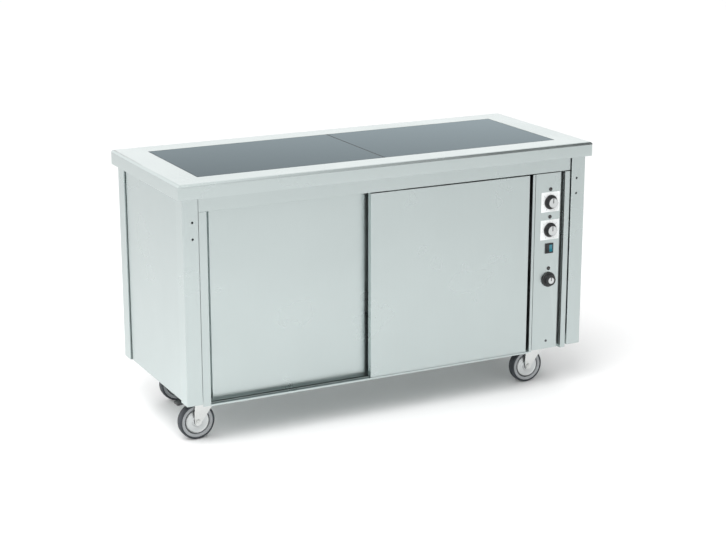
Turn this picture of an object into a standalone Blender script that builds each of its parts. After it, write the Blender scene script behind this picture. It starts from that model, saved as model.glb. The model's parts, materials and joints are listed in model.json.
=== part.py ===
"""Mobile heated serving counter: two flush glass hot plates over a hot cupboard with sliding doors.

Units are metres, +Z is up, +X runs along the counter to the control column and the front faces -Y.
The origin lies on the floor under the middle of the counter.
"""
import math

import bmesh
import bpy
from mathutils import Matrix, Vector

# Overall size and the gap kept between touching pieces
LENGTH, DEPTH, HEIGHT = 1.560, 0.640, 0.900
GAP = 0.0003
SHEET = 0.0012            # cover and liner sheet
HEAVY_SHEET = 0.0020      # worktop and base sheet

# Worktop and glass
EDGE_HEIGHT, EDGE_RADIUS, EDGE_LIP = 0.050, 0.012, 0.0145
GLASS_SIDE_INSET, GLASS_FRONT_INSET, GLASS_BACK_INSET = 0.101, 0.090, 0.092
GLASS_THICKNESS, SEAL_WIDTH, LEDGE_WIDTH, LEDGE_THICKNESS = 0.006, 0.002, 0.012, 0.006
TRAY_DEPTH, TRAY_MARGIN = 0.032, 0.005
ELEMENT_RADIUS, ELEMENT_PASSES = 0.004, 5

# Posts, covers and base
POST_SIZE, POST_WALL = 0.055, 0.0015
POST_SIDE_INSET, POST_FRONT_INSET, POST_BOTTOM = 0.0175, 0.017, 0.155
COVER_RECESS, COVER_DEPTH, REAR_GROOVE = 0.006, 0.020, 0.006
POST_HOLE_INSET, POST_HOLE_HEIGHTS, POST_HOLE_RADIUS = 0.034, (0.771, 0.716), 0.004
BASE_RIM = 0.015

# Front frame
FRONT_PLANE = -DEPTH / 2 + 0.023
END_GAP = 0.003           # shadow joint between the front frame and the posts, and under the fascia
FASCIA_BOTTOM, FRAME_BOTTOM = 0.801, 0.1448
JAMB_LEFT_EDGE, STILE_LEFT, STILE_RIGHT = -0.6766, 0.5510, 0.5610
PANEL_LEFT, PANEL_RIGHT, PANEL_BOTTOM, PANEL_DEPTH = 0.5625, 0.6660, 0.151, 0.025
JAMB_RIGHT_EDGE, GROOVE_DEPTH = 0.6840, 0.018

# Sliding doors, their track and their lower rail
DOOR_WIDTH, DOOR_THICKNESS, DOOR_BOTTOM, DOOR_TOP = 0.626, 0.020, 0.1470, 0.797
DOOR_LEFT_START, DOOR_RIGHT_START = -0.656, -0.0865
DOOR_FRONT, DOOR_STEP = FRONT_PLANE + 0.002, 0.035
HANGER_OFFSET, HANGER_LENGTH, HANGER_INSET = 0.0155, 0.060, 0.070
TRACK_WIDTH, TRACK_WALL, TRACK_LIP, TRACK_BOTTOM, TRACK_TOP = 0.030, 0.002, 0.007, 0.803, 0.845
RAIL_BOTTOM, RAIL_THICKNESS, RAIL_LIP_TOP, RAIL_FIN_TOP = 0.143, 0.0015, 0.149, 0.152
STOP_FLANGE = 0.034

# Hot cupboard
LINER_LEFT, LINER_RIGHT, LINER_BACK, LINER_FRONT = -0.690, 0.564, 0.273, -0.2325
LINER_TOP, FLOOR_TOP = 0.8022, 0.176
SHELF_LEDGE_HEIGHT, SHELF_LEDGE_WIDTH, SHELF_DEPTH = 0.4545, 0.018, 0.025
HEATER_COVER_FRONT, HEATER_COVER_HEIGHT = 0.185, 0.060

# Controls
CONTROL_X = 0.6245
DIAL_PLATE_WIDTH, DIAL_PLATE_HEIGHT, DIAL_PLATE_THICKNESS = 0.077, 0.072, 0.001
UPPER_KNOB_HEIGHT, LOWER_KNOB_HEIGHT, THERMOSTAT_HEIGHT = 0.694, 0.593, 0.410
LAMP_HEIGHTS = {"lamp_upper": 0.740, "lamp_middle": 0.640, "lamp_lower": 0.451}
SWITCH_HEIGHT, ROCKER_TILT = 0.525, math.radians(-6)
BUSH_RADIUS, SPINDLE_RADIUS = 0.004, 0.003
BUSH_FRONT, BUSH_REAR, SPINDLE_BORE_END, SPINDLE_END = -0.0018, 0.010, 0.022, 0.020
REGULATOR_SIZE, REGULATOR_DEPTH = 0.044, 0.030
PLATE_KNOB = (0.026, 0.0205, 0.0190)             # radii of the skirt, the grip and the face
THERMOSTAT_KNOB = (0.027, 0.0200, 0.0120)
KNOB_REAR, SKIRT_FRONT, KNOB_TIP = -0.0025, -0.0055, -0.0215   # along the spindle from the panel's face
POINTER_HALF, POINTER_RISE, POINTER_START = 0.001, 0.0008, 0.003
LAMP_RADIUS, BEZEL_RADIUS, LENS_TIP, LAMP_END = 0.005, 0.007, -0.0048, 0.022
SWITCH_RIM, SWITCH_BODY = (0.017, 0.0185), (0.014, 0.0155)     # half sizes across and up
SWITCH_OPENING, ROCKER_HALF = (0.012, 0.0137), (0.0116, 0.0125)
SWITCH_RIM_HEIGHT, SWITCH_BODY_DEPTH, SWITCH_OPENING_DEPTH = 0.0022, 0.022, 0.012
GLAND_X, GLAND_Z, GLAND_THREAD = 0.640, 0.230, 0.008
GLAND_BORE, GLAND_FLANGE, GLAND_INNER_END, GLAND_OUTER_END = 0.005, 0.014, -0.016, 0.0215

# Casters
WHEEL_RADIUS, TYRE_WIDTH, TRAIL, CASTER_Y = 0.0625, 0.032, 0.040, 0.194
STEM_LEFT_X, STEM_RIGHT_X = -0.652, 0.642
CROWN_BOTTOM, CROWN_TOP, RACE_BOTTOM, RACE_RADIUS = 0.1300, 0.1345, 0.1380, 0.027
PLATE_LENGTH, PLATE_WIDTH, PLATE_THICKNESS = 0.100, 0.067, 0.003
PLATE_HOLE_INSET, PLATE_HOLE_RADIUS = 0.011, 0.0045
CROWN_HALF_LENGTH, STEM_RADIUS = 0.0285, 0.022
FORK_STEP = 0.0003        # the crown and the lugs stand back from the legs' faces by this
LEG_INNER, LEG_THICKNESS, AXLE_RADIUS = 0.0195, 0.003, 0.005
AXLE_BOSS, AXLE_NUT_RADIUS, AXLE_NUT_HEIGHT, AXLE_NUT_REACH = 0.0125, 0.008, 0.0045, 0.004
HUB_HALF, WHEEL_SHOULDER = 0.018, 0.006
PEDAL_PIVOT, PEDAL_PIVOT_HEIGHT, PEDAL_TIP = 0.057, 0.1370, 0.112
PEDAL_HALF_WIDTH, PEDAL_BORE, PIN_RADIUS = 0.016, 0.0024, 0.002
LUG = [(0.040, 0.120), (0.040, 0.142), (0.063, 0.142), (0.063, 0.131)]   # place along the fork and height

WORKTOP_UNDERSIDE = HEIGHT - HEAVY_SHEET
EDGE_BOTTOM = HEIGHT - EDGE_HEIGHT
POST_OUTER_X = LENGTH / 2 - POST_SIDE_INSET
POST_INNER_X = POST_OUTER_X - POST_SIZE
POST_OUTER_Y = DEPTH / 2 - POST_FRONT_INSET
POST_INNER_Y = POST_OUTER_Y - POST_SIZE
CUTOUT_LOW = Vector((-LENGTH / 2 + GLASS_SIDE_INSET, -DEPTH / 2 + GLASS_FRONT_INSET, 0))
CUTOUT_HIGH = Vector((LENGTH / 2 - GLASS_SIDE_INSET, DEPTH / 2 - GLASS_BACK_INSET, 0))
GLASS_BOTTOM = HEIGHT - GLASS_THICKNESS
LEDGE_BOTTOM = GLASS_BOTTOM - GAP - LEDGE_THICKNESS
BASE_TOP = POST_BOTTOM + HEAVY_SHEET

FINISHES = {
    "steel": ((0.56, 0.59, 0.58), 0.34, 1.0),
    "worktop_steel": ((0.70, 0.72, 0.71), 0.28, 1.0),
    "liner_steel": ((0.50, 0.52, 0.52), 0.40, 1.0),
    "zinc": ((0.66, 0.67, 0.65), 0.35, 1.0),
    "glass": ((0.16, 0.18, 0.18), 0.08, 0.0),
    "silicone": ((0.05, 0.05, 0.055), 0.60, 0.0),
    "element": ((0.20, 0.19, 0.18), 0.50, 1.0),
    "black_plastic": ((0.025, 0.025, 0.027), 0.40, 0.0),
    "white_plate": ((0.80, 0.80, 0.79), 0.40, 0.0),
    "lamp_lens": ((0.06, 0.02, 0.02), 0.20, 0.0),
    "rocker_lens": ((0.02, 0.10, 0.16), 0.25, 0.0),
    "tyre": ((0.035, 0.036, 0.038), 0.70, 0.0),
}


def clear_scene():
    """Remove every object that the file opens with."""
    for item in list(bpy.data.objects):
        bpy.data.objects.remove(item, do_unlink=True)


def finish_material(name):
    """Return the named Principled material, making it on first use."""
    material = bpy.data.materials.get(name)
    if material is None:
        color, roughness, metallic = FINISHES[name]
        material = bpy.data.materials.new(name)
        material.use_nodes = True
        shader = material.node_tree.nodes["Principled BSDF"]
        shader.inputs["Base Color"].default_value = (*color, 1.0)
        shader.inputs["Roughness"].default_value = roughness
        shader.inputs["Metallic"].default_value = metallic
    return material


def make_object(name, shape, finish, location=(0, 0, 0), smooth=False):
    """Turn a bmesh into an object with outward faces and one material."""
    bmesh.ops.recalc_face_normals(shape, faces=shape.faces)
    mesh = bpy.data.meshes.new(name)
    shape.to_mesh(mesh)
    shape.free()
    if smooth:
        mesh.shade_smooth()
        mesh.set_sharp_from_angle(angle=math.radians(35))
    item = bpy.data.objects.new(name, mesh)
    item.location = location
    if finish:
        mesh.materials.append(finish_material(finish))
    bpy.context.scene.collection.objects.link(item)
    return item


def box_shape(low, high):
    """A cuboid between two corners."""
    low, high = Vector(low), Vector(high)
    shape = bmesh.new()
    size = high - low
    place = Matrix.Translation((low + high) / 2) @ Matrix.Diagonal((*size, 1))
    bmesh.ops.create_cube(shape, size=1.0, matrix=place)
    return shape


def box(name, low, high, finish=None):
    """A plain cuboid, placed by its centre."""
    low, high = Vector(low), Vector(high)
    middle = (low + high) / 2
    return make_object(name, box_shape(low - middle, high - middle), finish, middle)


def hollow_face(shape, direction, wall, depth):
    """Sink the face that looks along direction, leaving a wall round it."""
    direction = Vector(direction)
    face = max(shape.faces, key=lambda f: f.normal.dot(direction))
    bmesh.ops.inset_individual(shape, faces=[face], thickness=wall, use_even_offset=True)
    sunk = bmesh.ops.extrude_discrete_faces(shape, faces=[face])["faces"]
    corners = {corner for f in sunk for corner in f.verts}
    bmesh.ops.translate(shape, verts=list(corners), vec=-direction * depth)


def pan(name, low, high, opening, wall, finish):
    """A folded sheet pan whose open side looks along opening."""
    low, high = Vector(low), Vector(high)
    middle = (low + high) / 2
    shape = box_shape(low - middle, high - middle)
    shape.normal_update()
    span = abs((high - low).dot(Vector(opening)))
    hollow_face(shape, opening, wall, span - wall)
    return make_object(name, shape, finish, middle)


def profile_shape(outline, axis, start, end):
    """Extrude a closed outline along an axis: (y, z) for X, (x, z) for Y and (x, y) for Z."""
    along = "XYZ".index(axis)
    across = [i for i in range(3) if i != along]
    shape = bmesh.new()
    corners = []
    for a, b in outline:
        place = [0.0, 0.0, 0.0]
        place[along], place[across[0]], place[across[1]] = start, a, b
        corners.append(shape.verts.new(place))
    face = shape.faces.new(corners)
    grown = bmesh.ops.extrude_face_region(shape, geom=[face])["geom"]
    move = Vector((0, 0, 0))
    move[along] = end - start
    moved = [item for item in grown if isinstance(item, bmesh.types.BMVert)]
    bmesh.ops.translate(shape, verts=moved, vec=move)
    bmesh.ops.recalc_face_normals(shape, faces=shape.faces)
    return shape


def profile(name, outline, axis, start, end, finish=None, location=(0, 0, 0)):
    """An object extruded from a closed outline."""
    return make_object(name, profile_shape(outline, axis, start, end), finish, location)


def turned(name, points, axis, finish=None, location=(0, 0, 0), steps=24):
    """Turn (radius, distance along the axis) points through a full circle."""
    along = Vector((0, 0, 0))
    along["XYZ".index(axis)] = 1
    out = Vector((0, 0, 1)) if axis == "Y" else Vector((1, 0, 0))
    shape = bmesh.new()
    corners = [shape.verts.new(out * radius + along * place) for radius, place in points]
    edges = [shape.edges.new(pair) for pair in zip(corners, corners[1:])]
    if points[0][0] > 0 and points[-1][0] > 0:
        edges.append(shape.edges.new((corners[-1], corners[0])))
    bmesh.ops.spin(shape, geom=corners + edges, cent=(0, 0, 0), axis=along,
                   angle=math.tau, steps=steps, use_merge=True)
    bmesh.ops.remove_doubles(shape, verts=shape.verts, dist=1e-6)
    return make_object(name, shape, finish, location, smooth=True)


def combine(target, tool, operation):
    """Apply another object to the target as a Boolean and keep that tool as a guide."""
    tool.hide_render = True
    tool.display_type = "WIRE"
    step = target.modifiers.new(operation.lower(), "BOOLEAN")
    step.operation = operation
    step.solver = "EXACT"
    step.object = tool
    return target


def drill(target, name, radius, axis, start, end, location):
    """Cut a round hole along an axis."""
    points = [(0, start), (radius, start), (radius, end), (0, end)]
    return combine(target, turned(name, points, axis, None, location, steps=16), "DIFFERENCE")


def rounded_block(name, low, high, radius, finish=None):
    """A block whose four top edges are rounded."""
    shape = box_shape(low, high)
    top = max(corner.co.z for corner in shape.verts)
    edges = [e for e in shape.edges if all(abs(v.co.z - top) < 1e-6 for v in e.verts)]
    bmesh.ops.bevel(shape, geom=edges, offset=radius, segments=4, profile=0.5,
                    affect="EDGES", material=-1)
    return make_object(name, shape, finish)


def tube_path(name, points, radius, finish):
    """A round rod along a list of points."""
    curve = bpy.data.curves.new(name, "CURVE")
    curve.dimensions = "3D"
    curve.bevel_depth = radius
    curve.bevel_resolution = 1
    curve.render_resolution_u = 0
    curve.use_fill_caps = True
    spline = curve.splines.new("POLY")
    spline.points.add(len(points) - 1)
    for point, place in zip(spline.points, points):
        point.co = (*place, 1)
    curve.materials.append(finish_material(finish))
    item = bpy.data.objects.new(name, curve)
    bpy.context.scene.collection.objects.link(item)
    return item


def bend_points(middle, radius, start, sweep, height, steps=5):
    """Points on a level bend, from angle start through sweep."""
    turns = [start + sweep * i / steps for i in range(steps + 1)]
    return [(middle[0] + radius * math.cos(a), middle[1] + radius * math.sin(a), height)
            for a in turns]


# ---------------------------------------------------------------- worktop

def make_worktop():
    half_length, half_depth = LENGTH / 2, DEPTH / 2
    top = rounded_block("worktop", (-half_length, -half_depth, EDGE_BOTTOM),
                        (half_length, half_depth, HEIGHT), EDGE_RADIUS, "worktop_steel")
    inner_x, inner_y = half_length - HEAVY_SHEET, half_depth - HEAVY_SHEET
    cavity = rounded_block("worktop_cavity", (-inner_x, -inner_y, EDGE_BOTTOM + HEAVY_SHEET),
                           (inner_x, inner_y, WORKTOP_UNDERSIDE), EDGE_RADIUS - HEAVY_SHEET)
    combine(top, cavity, "DIFFERENCE")
    mouth_x, mouth_y = half_length - EDGE_LIP, half_depth - EDGE_LIP
    mouth = box("worktop_mouth", (-mouth_x, -mouth_y, EDGE_BOTTOM - 0.01),
                (mouth_x, mouth_y, EDGE_BOTTOM + 0.01))
    combine(top, mouth, "DIFFERENCE")
    reach = Vector((LEDGE_WIDTH, LEDGE_WIDTH, 0))
    ledge = box("glass_ledge", CUTOUT_LOW - reach + Vector((0, 0, LEDGE_BOTTOM)),
                CUTOUT_HIGH + reach + Vector((0, 0, HEIGHT - HEAVY_SHEET / 2)))
    combine(top, ledge, "UNION")
    recess = box("glass_recess", CUTOUT_LOW + Vector((0, 0, GLASS_BOTTOM - GAP)),
                 CUTOUT_HIGH + Vector((0, 0, HEIGHT + 0.01)))
    combine(top, recess, "DIFFERENCE")
    for side, sign in (("left", -1), ("right", 1)):
        ends = sorted((sign * (LEDGE_WIDTH + SEAL_WIDTH), sign * (CUTOUT_HIGH.x - LEDGE_WIDTH)))
        window = box(f"ledge_window_{side}", (ends[0], CUTOUT_LOW.y + LEDGE_WIDTH, LEDGE_BOTTOM - 0.01),
                     (ends[1], CUTOUT_HIGH.y - LEDGE_WIDTH, HEIGHT + 0.01))
        combine(top, window, "DIFFERENCE")


def make_glass():
    outer_x = CUTOUT_HIGH.x - SEAL_WIDTH - GAP
    low_y, high_y = CUTOUT_LOW.y + SEAL_WIDTH + GAP, CUTOUT_HIGH.y - SEAL_WIDTH - GAP
    inner_x = SEAL_WIDTH
    for side, ends in (("left", (-outer_x, -inner_x)), ("right", (inner_x, outer_x))):
        box(f"glass_{side}", (ends[0], low_y, GLASS_BOTTOM), (ends[1], high_y, HEIGHT), "glass")


def make_seal():
    """One silicone seal round both panes and between them."""
    margin = Vector((GAP, GAP, 0))
    lift = GAP
    seal = box("glass_seal", CUTOUT_LOW + margin + Vector((0, 0, GLASS_BOTTOM + lift)),
               CUTOUT_HIGH - margin + Vector((0, 0, HEIGHT - 2 * GAP)), "silicone")
    wall = SEAL_WIDTH
    for side, sign in (("left", -1), ("right", 1)):
        ends = sorted((sign * (SEAL_WIDTH - GAP), sign * (CUTOUT_HIGH.x - wall)))
        hole = box(f"seal_hole_{side}", (ends[0], CUTOUT_LOW.y + wall, GLASS_BOTTOM - 0.01),
                   (ends[1], CUTOUT_HIGH.y - wall, HEIGHT + 0.01))
        combine(seal, hole, "DIFFERENCE")


def make_hot_plate_heaters():
    top = LEDGE_BOTTOM - GAP
    for side, sign in (("left", -1), ("right", 1)):
        ends = sorted((sign * TRAY_MARGIN, sign * (CUTOUT_HIGH.x - TRAY_MARGIN)))
        low = Vector((ends[0], CUTOUT_LOW.y + TRAY_MARGIN, top - TRAY_DEPTH))
        high = Vector((ends[1], CUTOUT_HIGH.y - TRAY_MARGIN, top))
        pan(f"heater_tray_{side}", low, high, (0, 0, 1), SHEET, "liner_steel")
        height = low.z + SHEET + GAP + ELEMENT_RADIUS
        tube_path(f"heater_element_{side}", serpentine(low, high, height), ELEMENT_RADIUS, "element")


def serpentine(low, high, height):
    """Level passes along X, joined by half-circle bends."""
    border = 0.040
    pitch = (high.y - low.y - 2 * border) / (ELEMENT_PASSES - 1)
    radius = pitch / 2
    near, far = low.x + border + radius, high.x - border - radius
    points = [(near, low.y + border, height)]
    for row in range(ELEMENT_PASSES):
        y = low.y + border + row * pitch
        goes_right = row % 2 == 0
        end = far if goes_right else near
        if row == ELEMENT_PASSES - 1:
            points.append((end, y, height))
            break
        sweep = math.pi if goes_right else -math.pi
        points += bend_points((end, y + radius), radius, -math.pi / 2, sweep, height)
    return points


# ---------------------------------------------------------------- frame and covers

def make_posts():
    for end, y_sign in (("front", -1), ("rear", 1)):
        for side, x_sign in (("left", -1), ("right", 1)):
            xs = sorted((x_sign * POST_INNER_X, x_sign * POST_OUTER_X))
            ys = sorted((y_sign * POST_INNER_Y, y_sign * POST_OUTER_Y))
            post = pan(f"post_{end}_{side}", (xs[0], ys[0], POST_BOTTOM),
                       (xs[1], ys[1], WORKTOP_UNDERSIDE - GAP), (0, 0, 1), POST_WALL, "steel")
            if end == "front":
                x = x_sign * (POST_OUTER_X - POST_HOLE_INSET)
                for number, z in enumerate(POST_HOLE_HEIGHTS):
                    drill(post, f"post_hole_{side}_{number}", POST_HOLE_RADIUS, "Y",
                          -0.01, 0.01, (x, ys[0], z))


def make_covers():
    """Side and back covers, set back between the posts."""
    low_z, high_z = POST_BOTTOM + GAP, EDGE_BOTTOM - GAP
    outer_x = POST_OUTER_X - COVER_RECESS
    inner_x = outer_x - COVER_DEPTH
    low_y, high_y = -POST_INNER_Y + GAP, POST_INNER_Y - REAR_GROOVE
    pan("side_panel_left", (-outer_x, low_y, low_z), (-inner_x, high_y, high_z), (1, 0, 0), SHEET, "steel")
    pan("side_panel_right", (inner_x, low_y, low_z), (outer_x, high_y, high_z), (-1, 0, 0), SHEET, "steel")
    back_y = POST_OUTER_Y - COVER_RECESS
    back_x = POST_INNER_X - GAP
    back = pan("back_panel", (-back_x, back_y - COVER_DEPTH, low_z), (back_x, back_y, high_z),
               (0, -1, 0), SHEET, "steel")
    drill(back, "gland_hole", GLAND_THREAD + GAP, "Y", -0.01, 0.01, (GLAND_X, back_y, GLAND_Z))


def make_base_pan():
    """Base pan with notches for the rear posts and a turned-up rim."""
    outer_x = POST_OUTER_X - COVER_RECESS - COVER_DEPTH - GAP
    notch_x, notch_y = POST_INNER_X - GAP, POST_INNER_Y - GAP
    front_y = LINER_FRONT - HEAVY_SHEET - 2 * GAP
    back_y = POST_OUTER_Y - COVER_RECESS - COVER_DEPTH - GAP
    outline = [(-outer_x, front_y), (outer_x, front_y), (outer_x, notch_y), (notch_x, notch_y),
               (notch_x, back_y), (-notch_x, back_y), (-notch_x, notch_y), (-outer_x, notch_y)]
    shape = profile_shape(outline, "Z", POST_BOTTOM, POST_BOTTOM + BASE_RIM)
    hollow_face(shape, (0, 0, 1), HEAVY_SHEET, BASE_RIM - HEAVY_SHEET)
    make_object("base_pan", shape, "steel")


def make_front_frame():
    front, back = FRONT_PLANE, FRONT_PLANE + SHEET
    end_x = POST_INNER_X - END_GAP
    top = EDGE_BOTTOM - GAP
    fascia = [(front, FASCIA_BOTTOM), (back, FASCIA_BOTTOM), (back, top - SHEET),
              (front + COVER_DEPTH, top - SHEET), (front + COVER_DEPTH, top), (front, top)]
    profile("fascia", fascia, "X", -end_x, end_x, "steel")

    frame_top = FASCIA_BOTTOM - END_GAP
    leg = JAMB_LEFT_EDGE - SHEET
    stop = DOOR_FRONT + DOOR_STEP + DOOR_THICKNESS + 0.0015
    left = [(-end_x, front), (JAMB_LEFT_EDGE, front), (JAMB_LEFT_EDGE, stop),
            (JAMB_LEFT_EDGE + STOP_FLANGE, stop), (JAMB_LEFT_EDGE + STOP_FLANGE, stop + SHEET),
            (leg, stop + SHEET), (leg, back), (-end_x, back)]
    profile("jamb_left", left, "Z", FRAME_BOTTOM, FASCIA_BOTTOM - GAP, "steel")

    groove = front + GROOVE_DEPTH
    groove_left = PANEL_RIGHT + 2 * GAP
    right = [(JAMB_RIGHT_EDGE, front), (end_x, front), (end_x, back), (JAMB_RIGHT_EDGE + SHEET, back),
             (JAMB_RIGHT_EDGE + SHEET, groove + SHEET), (groove_left, groove + SHEET),
             (groove_left, groove), (JAMB_RIGHT_EDGE, groove)]
    profile("jamb_right", right, "Z", FRAME_BOTTOM, frame_top, "steel")

    stile_back = LINER_FRONT - HEAVY_SHEET - 4 * GAP
    stile = [(STILE_LEFT, front), (STILE_RIGHT, front), (STILE_RIGHT, back),
             (STILE_LEFT + SHEET, back), (STILE_LEFT + SHEET, stile_back), (STILE_LEFT, stile_back)]
    profile("column_stile", stile, "Z", FRAME_BOTTOM, frame_top, "steel")


def door_fronts():
    """Front faces of the right (front track) and left (rear track) doors."""
    return {"right": DOOR_FRONT, "left": DOOR_FRONT + DOOR_STEP}


def make_door_track():
    """Twin channel that both doors hang in."""
    middles = [door_fronts()[side] + HANGER_OFFSET for side in ("left", "right")]
    outline = [(middles[0] + TRACK_WIDTH / 2, TRACK_TOP)]
    for middle in middles:
        for wall in (1, -1):
            outer = middle + wall * TRACK_WIDTH / 2
            inner = outer - wall * TRACK_WALL
            mouth = outer - wall * TRACK_LIP
            corners = [(outer, TRACK_TOP - TRACK_WALL), (outer, TRACK_BOTTOM), (mouth, TRACK_BOTTOM),
                       (mouth, TRACK_BOTTOM + TRACK_WALL), (inner, TRACK_BOTTOM + TRACK_WALL),
                       (inner, TRACK_TOP - TRACK_WALL)]
            outline += corners if wall > 0 else corners[::-1]
    outline.append((middles[1] - TRACK_WIDTH / 2, TRACK_TOP))
    profile("door_track", outline, "X", -POST_INNER_X + 0.001, STILE_LEFT - GAP, "liner_steel")


def make_bottom_rail():
    """Lower rail: a front lip, one guide fin inside each door and a rear upstand."""
    low, high = RAIL_BOTTOM, RAIL_BOTTOM + RAIL_THICKNESS
    front = FRONT_PLANE - 0.0005
    back = LINER_FRONT - HEAVY_SHEET - 3 * GAP
    middle = DOOR_THICKNESS / 2
    fins = [(y + middle - SHEET / 2, y + middle + SHEET / 2, RAIL_FIN_TOP)
            for y in (door_fronts()["right"], door_fronts()["left"])]
    uprights = [(front, front + SHEET, RAIL_LIP_TOP), *fins, (back - SHEET, back, BASE_TOP)]
    outline = [(back, low), (front, low)]
    for near, far, tip in uprights:
        outline += [(near, high), (near, tip), (far, tip), (far, high)]
    outline.remove((front, high))
    outline.remove((back, high))
    profile("bottom_rail", outline, "X", JAMB_LEFT_EDGE + GAP, STILE_LEFT - GAP, "steel")


# ---------------------------------------------------------------- doors

def make_door(side, start_x):
    """Hollow door, open below over its guide fin, with two hangers that run in the track."""
    front = door_fronts()[side]
    door = pan(f"door_{side}", (start_x, front, DOOR_BOTTOM),
               (start_x + DOOR_WIDTH, front + DOOR_THICKNESS, DOOR_TOP), (0, 0, -1), SHEET, "steel")
    y = front + HANGER_OFFSET
    web, shoe = 0.0015, 0.010
    shoe_low = TRACK_BOTTOM + TRACK_WALL + GAP
    tee = [(y - web, DOOR_TOP - SHEET / 2), (y + web, DOOR_TOP - SHEET / 2), (y + web, shoe_low),
           (y + shoe, shoe_low), (y + shoe, shoe_low + shoe), (y - shoe, shoe_low + shoe),
           (y - shoe, shoe_low), (y - web, shoe_low)]
    first = start_x + HANGER_INSET
    last = start_x + DOOR_WIDTH - HANGER_INSET - HANGER_LENGTH
    for number, x in enumerate((first, last)):
        hanger = profile(f"hanger_{side}_{number}", tee, "X", x, x + HANGER_LENGTH)
        combine(door, hanger, "UNION")
    middle, clearance = front + DOOR_THICKNESS / 2, 0.003
    slot = box(f"guide_slot_{side}", (start_x - 0.01, middle - clearance, DOOR_BOTTOM - 0.01),
               (start_x + DOOR_WIDTH + 0.01, middle + clearance, RAIL_FIN_TOP + clearance))
    combine(door, slot, "DIFFERENCE")


# ---------------------------------------------------------------- hot cupboard

def make_liner():
    """Inner walls of the cupboard, one sheet folded round three sides, with shelf ledges."""
    bottom = BASE_TOP + GAP
    outline = [(LINER_LEFT, LINER_FRONT), (LINER_LEFT + SHEET, LINER_FRONT),
               (LINER_LEFT + SHEET, LINER_BACK - SHEET), (LINER_RIGHT - SHEET, LINER_BACK - SHEET),
               (LINER_RIGHT - SHEET, LINER_FRONT), (LINER_RIGHT, LINER_FRONT),
               (LINER_RIGHT, LINER_BACK), (LINER_LEFT, LINER_BACK)]
    liner = profile("cupboard_liner", outline, "Z", bottom, LINER_TOP, "liner_steel")
    ledge_ends = {"left": (LINER_LEFT + SHEET / 2, LINER_LEFT + SHELF_LEDGE_WIDTH),
                  "right": (LINER_RIGHT - SHELF_LEDGE_WIDTH, LINER_RIGHT - SHEET / 2)}
    for side, ends in ledge_ends.items():
        ledge = box(f"shelf_ledge_{side}", (ends[0], LINER_FRONT + 0.010, SHELF_LEDGE_HEIGHT - SHEET),
                    (ends[1], LINER_BACK - 0.010, SHELF_LEDGE_HEIGHT))
        combine(liner, ledge, "UNION")


def make_cupboard_shelves():
    low_x, high_x = LINER_LEFT + SHEET + GAP, LINER_RIGHT - SHEET - GAP
    back = LINER_BACK - SHEET - GAP
    pan("cupboard_floor", (low_x, LINER_FRONT, BASE_TOP + GAP), (high_x, back, FLOOR_TOP),
        (0, 0, -1), SHEET, "liner_steel")
    pan("shelf", (low_x, LINER_FRONT + 0.004, SHELF_LEDGE_HEIGHT + GAP),
        (high_x, back, SHELF_LEDGE_HEIGHT + GAP + SHELF_DEPTH), (0, 0, -1), SHEET, "liner_steel")
    box("cupboard_ceiling", (LINER_LEFT, LINER_FRONT + 0.004, LINER_TOP + GAP),
        (LINER_RIGHT, LINER_BACK, LINER_TOP + GAP + SHEET), "liner_steel")


def make_cupboard_heater():
    """A hairpin element along the back of the cupboard, under an open-ended cover."""
    front, back = HEATER_COVER_FRONT, LINER_BACK - 0.010
    low, high = FLOOR_TOP + GAP, FLOOR_TOP + HEATER_COVER_HEIGHT
    cover = [(front, low), (front + SHEET, low), (front + SHEET, high - SHEET),
             (back - SHEET, high - SHEET), (back - SHEET, low), (back, low), (back, high), (front, high)]
    profile("heater_cover", cover, "X", -0.450, 0.320, "liner_steel")
    radius, turn_x, middle_y = 0.018, -0.400, (front + back) / 2
    height = (low + high) / 2
    end_x = LINER_RIGHT - SHEET - GAP
    bend = bend_points((turn_x, middle_y), radius, -math.pi / 2, -math.pi, height)
    points = [(end_x, middle_y - radius, height), *bend, (end_x, middle_y + radius, height)]
    tube_path("cupboard_element", points, ELEMENT_RADIUS, "element")


# ---------------------------------------------------------------- controls

def make_control_panel():
    front = FRONT_PLANE
    panel = pan("control_panel", (PANEL_LEFT, front, PANEL_BOTTOM),
                (PANEL_RIGHT, front + PANEL_DEPTH, FASCIA_BOTTOM - END_GAP), (0, 1, 0), SHEET, "steel")
    for name, z in (("upper", UPPER_KNOB_HEIGHT), ("lower", LOWER_KNOB_HEIGHT),
                    ("thermostat", THERMOSTAT_HEIGHT)):
        drill(panel, f"bush_hole_{name}", BUSH_RADIUS + GAP, "Y", -0.01, 0.01, (CONTROL_X, front, z))
    for name, z in LAMP_HEIGHTS.items():
        drill(panel, f"hole_{name}", LAMP_RADIUS + GAP, "Y", -0.01, 0.01, (CONTROL_X, front, z))
    half_x, half_z = SWITCH_BODY[0] + GAP, SWITCH_BODY[1] + GAP
    window = box("switch_window", (CONTROL_X - half_x, front - 0.01, SWITCH_HEIGHT - half_z),
                 (CONTROL_X + half_x, front + 0.01, SWITCH_HEIGHT + half_z))
    combine(panel, window, "DIFFERENCE")


def make_dial_plate(name, z):
    back = FRONT_PLANE - GAP
    half_x, half_z = DIAL_PLATE_WIDTH / 2, DIAL_PLATE_HEIGHT / 2
    plate = box(name, (CONTROL_X - half_x, back - DIAL_PLATE_THICKNESS, z - half_z),
                (CONTROL_X + half_x, back, z + half_z), "white_plate")
    drill(plate, f"{name}_hole", BUSH_RADIUS + GAP, "Y", -0.01, 0.01, (CONTROL_X, back, z))


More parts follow.
